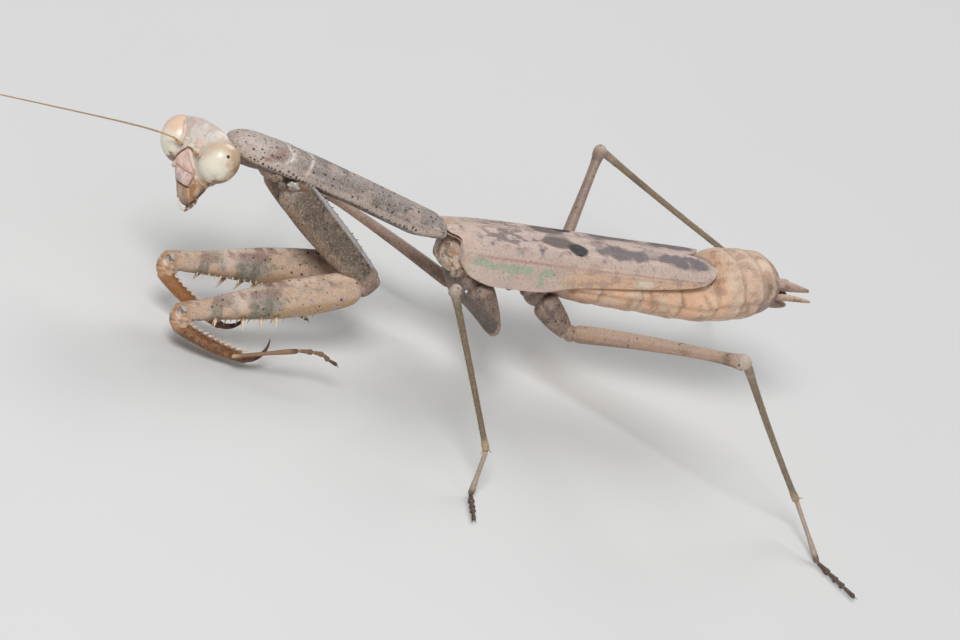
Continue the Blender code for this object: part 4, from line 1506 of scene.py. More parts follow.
@dataclass
class Trunk(Maker):
    """The long pronotum with its toothed keels, and the two winged thorax rings."""

    keel_teeth: int = 46
    sections: Rows = (
        # share from the rear, half width, roof, keel drop, belly depth
        (0, 1.5, 1.12, -0.3, 0.35), (0.05, 1.7, 1.35, -0.15, 0.45), (0.16, 1.82, 1.42, 0.28, 0.4),
        (0.3, 1.8, 1.45, 0.26, 0.38), (0.45, 1.78, 1.48, 0.2, 0.38), (0.6, 2, 1.48, 0.24, 0.42),
        (0.72, 2.55, 1.34, 0.12, 0.55), (0.8, 2.62, 1.26, 0.18, 0.55), (0.86, 2.6, 1.18, 0.19, 0.78),
        (0.91, 2.38, 1.06, 0.2, 1.02), (0.95, 2, 0.86, 0.24, 1.05), (0.975, 1.5, 0.6, 0.24, 0.88),
        (0.99, 1, 0.34, 0.16, 0.6), (1, 0.5, 0.08, 0.05, 0.3),
    )

    def groove(self, x: float) -> float:
        """Where the curved groove crosses the pronotum at a distance from its middle."""
        return -15.05 - 1.3 * (abs(x) / 2.4) ** 5

    def shield(self, u: float, v: float) -> Vector:
        """A point of the pronotum for u along it and v round it, top first.

        Args:
            u: Share along it.
            v: Share round it.

        Returns:
            The point.
        """
        t = 0.5 - 0.5 * cos(pi * u) if u in (0, 1) else 0.15 * (0.5 - 0.5 * cos(pi * u)) + 0.85 * u
        half, roof, drop, belly = curve(self.sections, t)
        length = self.stance.pronotum_length
        close = min(1, dome(min(t, 1 - t) / 0.012))
        y = -length * t
        if v <= 0.6:
            a = pi * v / 0.6
            s = sin(a)
            x = half * cos(a)
            z = roof * s ** 0.9 - drop * (1 - s)
            keel = ease((abs(cos(a)) - 0.88) / 0.1)
            z += 0.1 * keel - 0.07 * bump(abs(cos(a)), 0.86, 0.05)
            x *= 1.0 + 0.018 * keel
            dent = y - self.groove(x)
            z -= 0.15 * exp(-((dent / 0.17) ** 2)) * ease(s / 0.3)
            z += 0.06 * bump(dent, 0.42, 0.3) * ease(s / 0.5) + 0.03 * bump(dent, -0.45, 0.3) * s
            z -= 0.06 * exp(-(((y + 0.15 * x * x + 13.3) / 0.12) ** 2)) * ease(s / 0.3)
            z += 0.05 * exp(-((x / 0.12) ** 2)) * (0.3 + 0.7 * fall(t, 0.7, 0.1))
            z -= 0.1 * exp(-(((t - 0.035) / 0.012) ** 2)) * s
        else:
            a = pi * (v - 0.6) / 0.4
            side = abs(cos(a)) ** 6
            x = -half * (0.84 + 0.16 * side) * (1 + 0.018 * side) * cos(a)
            z = -drop + 0.1 * side - 0.12 * (1 - side) - belly * sin(a) ** 0.8
        middle = 0.5 * (roof - belly - drop) * 0.5
        return Vector((x * close, y, middle + (z - middle) * close))

    def shield_paint(self, p: Vector) -> Stain:
        """Colours of the pronotum from its pale front to its greyer rear, with dark specks and painted shade on its
        underside below the keels.

        Args:
            p: A point, in millimetres.

        Returns:
            Its stain.
        """
        t = -p.y / self.stance.pronotum_length
        coat = Coat((0.5, 0.41, 0.36), 0.9 * rise(t, 0.7, 0.1))
        coat((0.6, 0.5, 0.44), 0.7 * rise(t, 0.86, 0.1))
        x = abs(p.x)
        dent = p.y - self.groove(p.x)
        top = rise(p.z, -0.1, 0.3)
        coat((0.27, 0.22, 0.19), 0.6 * mist(p, 1.1, 14, 0.5, 0.12) * bump(t, 0.84, 0.1))
        coat((0.8, 0.73, 0.66), top * bump(dent, 0, 0.19))
        coat((0.66, 0.58, 0.5), 0.9 * top * bump(p.y + 0.15 * x * x, -13.12, 0.13))
        coat((0.22, 0.16, 0.14), 0.5 * top * bump(p.y, -14.3, 0.35) * mist(p, 0.8, 2, 0.42, 0.2))
        coat((0.2, 0.15, 0.13), 0.7 * mist(p, 0.55, 9, 0.56, 0.16) * fall(t, 0.7, 0.1))
        coat((0.5, 0.39, 0.34), 0.6 * mist(p, 0.75, 4, 0.55, 0.14))
        coat((0.25, 0.135, 0.1), 0.9 * top * bump(dent, -1, 0.65) * rise(x, 0.6, 0.6))
        half, _, drop, _ = curve(self.sections, t)
        coat((0.54, 0.43, 0.35), 0.6 * ease((x / half - 0.985) / 0.02))
        # Dark below the keels: painted shade on the pronotum's underside.
        return coat((0.14, 0.08, 0.06), 0.9 * ease((-drop - 0.06 - p.z) / 0.25))

    def make_pronotum(self) -> None:
        """The pronotum and the black teeth along its keels."""
        place = self.stance.pronotum
        piece = Bench.wrap("pronotum_plate", 190, 110, place, self.shield, self.shield_paint)
        self.present(piece, "pronotum", "trunk_cuticle", "pronotum")
        seats = []
        chance = random.Random(7)
        for side in Side:
            for i in range(self.keel_teeth):
                t = 0.13 + 0.83 * (i + 0.5 * chance.random()) / self.keel_teeth
                if t < 0.55 and i % 2:
                    continue
                half, _, drop, _ = curve(self.sections, t)
                root = Vector((side.sign * half, -self.stance.pronotum_length * t, -drop + 0.04))
                out = Vector((side.sign, -0.15, -0.1))
                size = (0.62 + 0.5 * chance.random()) * (1 if t > 0.6 else 0.75)
                seats.append(place @ frame_along(root, Vector((0, -1, 0.01)), out) @ Matrix.Scale(size, 4))
        self.scatter("keel_teeth", thorn(0.2, 0.105, 0.02, 6), seats, "ink", "trunk_cuticle")

    def ring(self, start: float, end: float, table: Rows) -> Piece:
        """One thorax ring: shares of its length, half width, top and bottom.

        Args:
            start: Its front.
            end: Its rear.
            table: Its sections.

        Returns:
            The ring.
        """

        def surface(u: float, v: float) -> Vector:
            """A point of the ring's skin.

            Args:
                u: Share along it.
                v: Share round it.

            Returns:
                The point.
            """
            t = 0.5 - 0.5 * cos(pi * u)
            close = dome(min(t, 1 - t) / 0.12)
            half, top, bottom = curve(table, t)
            x, z = oval_point(tau * v, half, 1, 0.85)
            z = z * (top if z > 0 else bottom)
            return Vector((x * close, start + (end - start) * t, z * close))

        return Bench.wrap("ring", 30, 48, self.stance.body, surface)

    def thorax_paint(self, p: Vector) -> Stain:
        """Pinkish grey sides with paler plates and dark seams, and painted shade along the bottom.

        Args:
            p: A point, in millimetres.

        Returns:
            Its stain.
        """
        coat = Coat((0.5, 0.36, 0.27), 0.6)
        coat((0.62, 0.45, 0.34), 0.8 * mist(p, 0.8, 1, 0.5, 0.15))
        side = rise(abs(p.x), 1.2, 0.5)
        for points in (((-1.9, 0.6), (-0.9, -1.9)), ((-0.2, 0.9), (0.7, -1.9)), ((2.9, 1), (2.9, -2.2)),
                ((4.3, 0.8), (5, -2)), ((-1.6, -0.7), (2.6, -0.5)), ((3, -0.6), (6, -0.5))):
            coat((0.2, 0.12, 0.08), 0.85 * side * near_line(p.y, p.z, points, 0.17))
        coat((0.46, 0.24, 0.12), 0.75 * blotch(p.y, p.z, -1.1, 0.1, 1.7, 1.2) * mist(p, 1.3, 6, 0.46, 0.08))
        coat((0.7, 0.58, 0.48), 0.7 * mist(p, 1.1, 9, 0.56, 0.08))
        coat((0.16, 0.1, 0.07), 0.75 * mist(p, 1.7, 14, 0.6, 0.07))
        # Darker towards the bottom: painted shade on the thorax's underside.
        return coat((0.2, 0.14, 0.11), 0.8 * fall(p.z, -1.4, 0.4))

    def make_thorax(self) -> None:
        """Both rings, their side plates and the leg sockets melted into one skin."""
        body = self.stance.body
        pieces = [
            self.ring(-2.35, 3.2,
                ((0, 1.25, 0.95, 1.1), (0.25, 1.9, 1.25, 1.75), (0.7, 2.2, 1.25, 1.95), (1, 2.1, 1.1, 1.95))),
            self.ring(2.6, 6.3, ((0, 2.1, 1.1, 1.95), (0.4, 2.3, 1.15, 2.05), (1, 2.3, 0.95, 2.15))),
        ]
        for side in Side:
            s = side.sign
            for x, y, z, half in ((1.75, -0.9, -0.55, (0.55, 0.7, 1.15)), (1.85, 1.1, -0.75, (0.58, 0.8, 1.25)),
                    (2, 3.9, -0.65, (0.5, 0.6, 1.15)), (2, 5.4, -0.8, (0.55, 0.75, 1.2)),
                    (1.75, 0.7, -1.85, (0.75, 0.95, 0.7)), (1.85, 6.2, -1.9, (0.75, 0.95, 0.7))):
                pieces.append(ball("plate", body @ shift(s * x, y, z) @ rot("X", -16), half, 16, 20))
        skin = Bench.fuse("thorax_skin", pieces, 0.085, 3)
        Bench.stain(skin, body, self.thorax_paint)
        self.present(skin, "trunk", "trunk_cuticle", "mesothorax", "metathorax")

    def make(self) -> None:
        """Build the trunk."""
        self.make_pronotum()
        self.make_thorax()


# ---- fore legs


@dataclass
class ForeLeg(Maker):
    """One folded catching leg: coxa, trochanter, spined femur, toothed tibia and slender tarsus."""

    side: Side = Side.LEFT
    root_back: float = 4.9
    coxa: Row = (167.5, -34.5)
    femur: Row = (8.4, -15.3)
    tibia: Row = (169, -11.5)
    tarsus: Row = (178, 19)
    coxa_length: float = 11.4
    femur_length: float = 15.5
    tibia_length: float = 6.3
    claw_length: float = 2.9

    def __post_init__(self) -> None:
        """Work out the joints."""
        s = self.side.sign
        self.start = self.stance.front @ Vector((s * 1.95, self.root_back, -0.7))
        self.coxa_way = heading(*self.coxa)
        self.femur_way = heading(*self.femur)
        self.tibia_way = heading(*self.tibia)
        self.hip = self.start + self.coxa_way * self.coxa_length
        self.knee = self.hip + self.femur_way * self.femur_length
        self.dorsal = -(self.tibia_way - self.femur_way * self.tibia_way.dot(self.femur_way)).normalized()
        self.hinge = self.knee + self.femur_way * 0.66 - self.dorsal * 0.56

    def flank(self, frame: Matrix) -> float:
        """+1 where a limb's local +Y is the outer side of the animal."""
        outward = frame.to_3x3() @ Vector((0, 1, 0))
        return 1.0 if outward.x * self.side.sign > 0.0 else -1.0

    def make_coxa(self) -> None:
        """A long three-edged coxa, paler along its front edge, with rows of tubercles."""
        lead = 0.25
        reach = self.coxa_length - lead - 0.1
        place = frame_along(self.start + self.coxa_way * lead, self.coxa_way, self.femur_way)

        def paint(p: Vector) -> Stain:
            """Olive brown coxa with a pale front edge and a row of dark points, darker towards its top and middle as
            painted shade under the head and pronotum.

            Args:
                p: A point, in millimetres.

            Returns:
                Its stain.
            """
            t = p.x / reach
            edge = (p.z + 0.4 * t * t) / (1.45 - 0.55 * t)
            coat = Coat((0.36, 0.28, 0.23), 0.8 * fall(t, 0.14, 0.1))
            coat((0.25, 0.185, 0.135), 0.55 * mist(p, 0.7, 6, 0.48, 0.15))
            coat((0.075, 0.05, 0.04), 0.6 * mist(p, 2.2, 11, 0.6, 0.08))
            coat((0.32, 0.2, 0.13), 0.45 * rise(edge, 0.55, 0.25))
            coat((0.46, 0.43, 0.42), 0.85 * fall(edge, -0.72, 0.12))
            coat((0.05, 0.035, 0.03), 0.95 * bump(edge, -0.64, 0.06) * rise(sin(15 * p.x), -0.1, 0.3))
            # Lighter towards the lower end; with the dark ground this paints shade on the upper coxa, under the head
            # and pronotum.
            coat((0.28, 0.21, 0.16), 0.6 * rise(t, 0.6, 0.2) * mist(p, 0.9, 5, 0.4, 0.2))
            return coat((0.34, 0.22, 0.17), 0.8 * rise(t, 0.9, 0.06))

        limb = Limb(straight(reach, ((0, 0.62, 0.95), (0.08, 0.84, 1.38), (0.3, 0.92, 1.5, -0.04),
            (0.6, 0.8, 1.4, -0.16), (0.85, 0.54, 1.12, -0.32), (0.96, 0.44, 0.95, -0.4), (1, 0.36, 0.8, -0.42))),
            power=0.92, cap=0.75, cols=110, sides=56, paint=paint,
            relief=lambda t, a: 0.05 * cos(3 * (a - 0.5 * pi)) - 0.03 * bump(t, 0.93, 0.02))
        self.present(limb.make("fore_coxa_skin_" + self.side.word, place), "fore", "fore_leg_cuticle",
            "fore_coxa_" + self.side.word)
        seats = []
        for i in range(13):
            t = 0.12 + 0.062 * i
            for angle in (84, -96):
                seats.append(place @ limb.seat(t, angle, 0.2, 0.04) @ Matrix.Scale(0.8 + 0.25 * sin(5 * i), 4))
        for i in range(16):
            around = 30.0 if i % 2 else 55.0
            seats.append(place @ limb.seat(0.1 + 0.052 * i, around if self.flank(place) > 0 else 180 - around, 0,
                0.05) @ Matrix.Scale(0.7, 4))
        self.scatter("coxa_tubercles_" + self.side.word, thorn(0.17, 0.07, 0.03, 6), seats, "ink",
            "fore_leg_cuticle")

    def make_shoulder(self) -> None:
        """The soft folds and small hard knobs where the coxa hangs from the pronotum."""
        s = self.side.sign
        place = self.stance.pronotum

        def folds(p: Vector) -> Stain:
            """Brown creases in pinkish skin."""
            return Coat((0.34, 0.23, 0.18), 0.8)((0.16, 0.1, 0.08), 0.8 * mist(p, 2.2, 3, 0.5, 0.1))

        pieces = [self.dress(ball("folds", place @ shift(1.15 * s, -15.95, -0.72), (1.05, 1.25, 0.62), 40, 40,
            relief=lambda q: 0.05 * sin(17 * q.y + 3 * q.z), paint=folds), "soft")]
        knobs = (
            # x, y, z, half sizes, colour
            (1.95, -15.85, -0.7, (0.46, 0.54, 0.38), (0.5, 0.38, 0.29)),
            (2.35, -15.25, -1.1, (0.28, 0.42, 0.28), (0.2, 0.17, 0.16)),
            (2.68, -14.58, -0.74, (0.3, 0.56, 0.36), (0.42, 0.39, 0.33)),
            (2.62, -13.8, -0.56, (0.28, 0.6, 0.32), (0.2, 0.1, 0.055)),
        )
        for x, y, z, half, tone in knobs:
            # Each knob gets brown patches that spread over its lower side: partly brown patches of its own, partly
            # painted shade below.
            knob = ball("knob", place @ shift(x * s, y, z), half, 24, 28,
                paint=lambda p, c=tone, low=half[2]: Coat(c, 0.85)(
                    BROWN, 0.85 * ease((0.75 * haze(p, 2.6, c[0] * 40) - 0.45 * p.z / low - 0.26) / 0.22)),
                relief=lambda q, at=x: 0.46 * noise.noise(q * 1.7 + Vector((7 * at, 0, 0))))
            pieces.append(self.dress(knob, "joint"))
        self.present(Bench.join("shoulder_" + self.side.word, pieces), "", "trunk_cuticle")

    def make_trochanter(self) -> None:
        """The knuckle between coxa and femur."""
        rows = straight(2.1, ((0, 0.36, 0.5), (0.35, 0.5, 0.68), (0.65, 0.5, 0.66, 0.02), (1, 0.32, 0.46)))
        way = (self.coxa_way * 0.55 + self.femur_way).normalized()
        place = frame_along(self.hip - way + self.dorsal * 0.25, way, self.dorsal)
        limb = Limb(rows, cap=0.8, cols=36, sides=36,
            paint=lambda p: Coat((0.22, 0.14, 0.1), 0.85)((0.38, 0.27, 0.21), 0.8 * mist(p, 1, 2, 0.48, 0.15)))
        self.present(limb.make("fore_trochanter_skin_" + self.side.word, place), "fore", "fore_leg_cuticle",
            "fore_trochanter_" + self.side.word)

    def femur_paint(self, p: Vector) -> Stain:
        """Cream femur with two cloudy grey-green bands, dark specks and a browner lower edge.

        Args:
            p: A point, in millimetres.

        Returns:
            Its stain.
        """
        x = p.x + 0.95
        coat = Coat((0.66, 0.46, 0.33), 0.5)
        coat((0.42, 0.26, 0.12), 0.7 * fall(p.z, -0.35, 0.55))
        cloud = haze(p, 0.9, 12)
        for centre, width, strength in ((8.9, 1.25, 0.95), (12.6, 0.85, 0.75)):
            band = bump(x + 0.5 * p.z, centre, width)
            tone = (0.27, 0.18, 0.14) if p.z > 0.35 + 0.8 * (cloud - 0.5) else (0.21, 0.195, 0.14)
            coat(tone, strength * ease((band + 1.1 * (cloud - 0.5) - 0.3) / 0.35))
        coat((0.42, 0.34, 0.3), 0.6 * mist(p, 1.5, 8, 0.58, 0.1))
        coat((0.7, 0.55, 0.43), 0.7 * rise(p.z, 0.75, 0.4) * rise(cloud, 0.42, 0.1))
        coat((0.68, 0.53, 0.45), 0.7 * bump(x, 10.8, 0.55) * rise(p.z, -0.5, 0.5))
        coat((0.3, 0.19, 0.15), 0.75 * rise(p.z, 0.2, 0.6) * mist(p, 1, 31, 0.53, 0.08))
        return coat((0.5, 0.28, 0.14), 0.85 * rise(x, 14.7, 0.5))

    def make_femur(self) -> None:
        """The deep femur, its knee lobes and its two rows of spines."""
        begin = 0.65
        reach = self.femur_length - begin + 0.62
        place = frame_along(self.hip + self.femur_way * begin, self.femur_way, self.dorsal)
        table = ((0, 0.66, 0.9, 0.4), (0.03, 0.76, 1.08, 0.27), (0.1, 0.84, 1.3, 0.11), (0.27, 0.9, 1.42, 0.05),
            (0.42, 0.88, 1.38, 0.05), (0.56, 0.8, 1.2, 0.08), (0.7, 0.69, 0.97, 0.1), (0.84, 0.6, 0.79, 0.12),
            (0.93, 0.64, 0.76, 0.18), (0.975, 0.62, 0.72, 0.16), (1, 0.5, 0.6, 0.12))
        limb = Limb(straight(reach, table), power=0.9, cap=1, cols=150, sides=60,
            paint=lambda p: self.femur_paint(Vector((p.x + begin - 0.95, p.y, p.z))),
            relief=lambda t, a: 0.035 * cos(4 * a + 0.6) * fall(t, 0.9, 0.2)
            - 0.05 * bump(t, 0.885, 0.015) * max(-sin(a), 0))
        outer = self.flank(place)

        def knee_paint(p: Vector) -> Stain:
            """Orange brown with paler clouds and a few dark flecks.

            Args:
                p: A point, in millimetres.

            Returns:
                Its stain.
            """
            coat = Coat((0.48, 0.25, 0.12), 0.85)
            coat((0.66, 0.47, 0.33), 0.75 * mist(p, 1.5, 5, 0.5, 0.12))
            return coat(BROWN, 0.6 * mist(p, 2.6, 11, 0.58, 0.08))

        knob = ball("knob", place @ shift(self.femur_length - begin, 0, -0.24), (0.84, 0.62, 1.1), 32, 36,
            relief=lambda q: 0.09 * noise.noise(q * 2.6), paint=knee_paint)
        pieces = [self.dress(limb.make("femur", place), "femur"), self.dress(knob, "tibia")]
        for y in (0.44, -0.44):
            patch = ball("patch", place @ shift(15.46 - begin, y, 0.26), (0.46, 0.26, 0.46), 24, 28,
                relief=lambda q: 0.16 * noise.noise(q * 2.2),
                paint=lambda p: Coat((0.5, 0.46, 0.43), 0.7)(BROWN, 0.9 * mist(p, 4, 2, 0.56, 0.08)))
            pieces.append(self.dress(patch, "joint"))
        self.present(Bench.join("fore_femur_skin_" + self.side.word, pieces), "", "catching_femur",
            "fore_femur_" + self.side.word)
        big = []
        small = []
        dark = []
        for x, size in ((8, 0.9), (9.2, 0.95), (10.65, 0.98), (12.85, 0.65)):
            big.append(place @ limb.seat((x - begin) / reach, -90 + 26 * outer, 0.3, 0.12)
                @ Matrix.Diagonal((1, 1, size, 1)))
        for i in range(18):
            x = 5.0 + 0.48 * i
            seat = limb.seat((x - begin) / reach, -90 - 24 * outer, 0.2, 0.12)
            long = i % 2 == 0
            (dark if long else small).append(place @ seat @ Matrix.Diagonal((0.8, 0.8, 0.72 if long else 0.48, 1)))
        for x, size in ((3.9, 0.4), (4.6, 0.5), (5.4, 0.6), (6.1, 0.5)):
            dark.append(place @ limb.seat((x - begin) / reach, -90 - 12 * outer, 0.18, 0.12)
                @ Matrix.Diagonal((1, 1, size, 1)))
        word = self.side.word
        self.scatter("femur_spines_" + word, thorn(1.3, 0.25, 0.18, 10, (0.2, 0.1, 0.05)), big, "horn",
            "catching_femur")
        self.scatter("femur_inner_spines_" + word, thorn(1, 0.13, 0.12, 8, (0.24, 0.12, 0.06)), small + dark,
            "horn", "catching_femur")
        beads = []
        chance = random.Random(3)
        for i in range(30):
            t = 0.08 + 0.028 * i + 0.01 * chance.random()
            beads.append(place @ limb.seat(t, 90 + 22 * outer * (1 if i % 2 else -0.6), 0, 0.05)
                @ Matrix.Scale(0.45 + 0.4 * chance.random(), 4))
        self.scatter("femur_granules_" + word, thorn(0.15, 0.08, 0, 6), beads, "ink", "catching_femur")

    def make_tibia(self) -> None:
        """The curved tibia with a comb of teeth and its long dark claw."""
        place = frame_along(self.hinge, self.tibia_way, self.dorsal)
        shape = ((0, 0.3, 0.32), (0.05, 0.45, 0.48), (0.14, 0.46, 0.5), (0.5, 0.42, 0.47), (1, 0.32, 0.34))
        rows = []
        total = self.tibia_length + self.claw_length
        for i in range(25):
            k = i / 24
            sag = 0.1 - 0.28 * sin(pi * k) ** 0.9
            half_y, half_z = curve(shape, k)
            rows.append((k * self.tibia_length / total, self.tibia_length * k, sag, half_y, half_z))
        x, z = rows[-1][1:3]
        for i in range(1, 17):
            k = i / 16
            bend = radians(12 + 92 * k)
            x += self.claw_length / 16 * cos(bend)
            z += self.claw_length / 16 * sin(bend)
            half = 0.22 * (1 - k) ** 0.8 + 0.02
            rows.append(((self.tibia_length + self.claw_length * k) / total, x, z, half, half * 1.12))
        limb = Limb(rows, power=0.92, cap=0.8, cols=130, sides=36, paint=self.tibia_paint)
        word = self.side.word
        outer = self.flank(place)
        self.present(limb.make("fore_tibia_skin_" + word, place), "tibia", "catching_tibia", "fore_tibia_" + word)
        outs = []
        ins = []
        for i in range(11):
            t = (0.9 + 0.47 * i) / total
            outs.append(place @ limb.seat(t, 90 - 28 * outer, 1, 0.06) @ Matrix.Diagonal((1, 1, 0.55 + 0.045 * i, 1)))
            ins.append(place @ limb.seat(t + 0.01, 90 + 28 * outer, 1, 0.06)
                @ Matrix.Diagonal((0.9, 0.9, 0.5 + 0.05 * i, 1)))
        self.scatter("tibia_teeth_" + word, thorn(0.95, 0.14, 0.12, 8, (0.22, 0.1, 0.04)), outs + ins, "horn",
            "catching_tibia")

    def tibia_paint(self, p: Vector) -> Stain:
        """Rusty tibia, darker at its ends, with a blackish red claw; the left tibia's darker ground is painted shade.

        Args:
            p: A point, in millimetres.

        Returns:
            Its stain.
        """
        # The left tibia's much darker ground is painted shade; the right one shows the tibia's own rust.
        base = (0.15, 0.055, 0.014) if self.side is Side.LEFT else (0.33, 0.125, 0.034)
        coat = Coat(base, 0.8)
        coat((0.5, 0.31, 0.17), 0.7 * fall(p.x, 0.75, 0.6))
        coat((0.34, 0.17, 0.07), 0.5 * mist(p, 2.2, 2, 0.54, 0.12))
        coat((0.12, 0.045, 0.018), 0.8 * rise(p.x, 5.6, 0.7))
        return coat((0.06, 0.009, 0.006), rise(p.x, 6.5, 0.8) + rise(p.z, 0.5, 0.5) * rise(p.x, 6, 0.3))

    def make_tarsus(self) -> None:
        """Five slender joints and two tiny claws, carried back along the tibia."""
        outward = self.dorsal.cross(self.tibia_way).normalized()
        if outward.x * self.side.sign < 0.0:
            outward = -outward
        ankle = self.hinge + self.tibia_way * (self.tibia_length - 1.55) + outward * 0.8 - self.dorsal * 0.4
        frame = frame_along(ankle, heading(*self.tarsus), UP)
        chain = TarsusChain(self.stance, self.finishes)
        joints = [(0, 0, 5.1, 0)]
        x, z = 5.1, 0.0
        for length, tilt in ((1.15, -12), (0.9, -20), (0.7, -50), (0.85, -38)):
            joints.append((x, z, length, tilt))
            x += length * cos(radians(tilt))
            z += length * sin(radians(tilt))
        piece = chain.build("fore_tarsus_skin_" + self.side.word, frame, joints, 0.2, False)
        self.present(piece, "", "tarsus", "fore_tarsus_" + self.side.word)

    def make(self) -> None:
        """Build the whole leg."""
        self.make_shoulder()
        self.make_coxa()
        self.make_trochanter()
        self.make_femur()
        self.make_tibia()
        self.make_tarsus()


@dataclass
class TarsusChain(Maker):
    """The jointed foot that every leg ends in."""

    def build(self, name: str, frame: Matrix, joints: Rows, radius: float, flat: bool) -> Piece:
        """Build the joints and the two claws.

        Args:
            name: The piece's name.
            frame: The foot's frame; its joints lie in its XZ plane.
            joints: Start x and z, length and slope of each joint.
            radius: Half thickness of the joints.
            flat: Whether their soles rest on the floor.

        Returns:
            The foot.
        """
        pieces = []
        for number, (x, z, length, slope) in enumerate(joints):
            last = number == len(joints) - 1
            r = radius * (1 if number else 0.92)
            root = 0.62 if number else 0.84
            table = ((0, r * root), (0.5, r * 0.78), (0.88, r * 1.12, r * 1.1, -0.02), (1, r * 0.95, r * 0.95, -0.03))
            if last:
                table = ((0, r * 0.5), (0.75, r * 0.72), (1, r * 0.8, r * 0.75))

            def paint(p: Vector, reach: float = length, end: bool = last, first: bool = number == 0) -> Stain:
                """Brown joint, pale at its root and dark at its end.

                Args:
                    p: A point, in millimetres.
                    reach: The joint's length.
                    end: Whether it is the last.
                    first: Whether it is the first.

                Returns:
                    Its stain.
                """
                k = p.x / reach
                if flat:
                    tone = (0.4, 0.31, 0.25) if first else (0.085, 0.052, 0.038)
                else:
                    tone = (0.26, 0.145, 0.07) if first else (0.2, 0.11, 0.055)
                coat = Coat((0.07, 0.042, 0.03) if end else tone, 0.85)
                coat((0.1, 0.06, 0.035), 0.8 * rise(k, 0.86, 0.08))
                return coat((0.5, 0.36, 0.22), 0.8 * fall(k, 0.16, 0.12))

            limb = Limb(straight(length + 0.05, table), cap=0.9, cols=30 if number == 0 else 16, sides=18, paint=paint)
            place = frame @ shift(x, 0, z) @ rot("Y", -slope)
            pieces.append(self.dress(limb.make("joint", place), "tarsus"))
        x, z, length, slope = joints[-1]
        tip = frame @ shift(x, 0, z) @ rot("Y", -slope) @ shift(length - 0.05, 0, 0)
        seats = [tip @ rot("Z", 32 * s) @ rot("Y", 90) for s in (-1, 1)]
        pieces += [self.dress(claw, "ink") for claw in Bench.copies(thorn(0.42, 0.06, 0.1, 8), seats)]
        return Bench.join(name, pieces)


# ---- walking legs


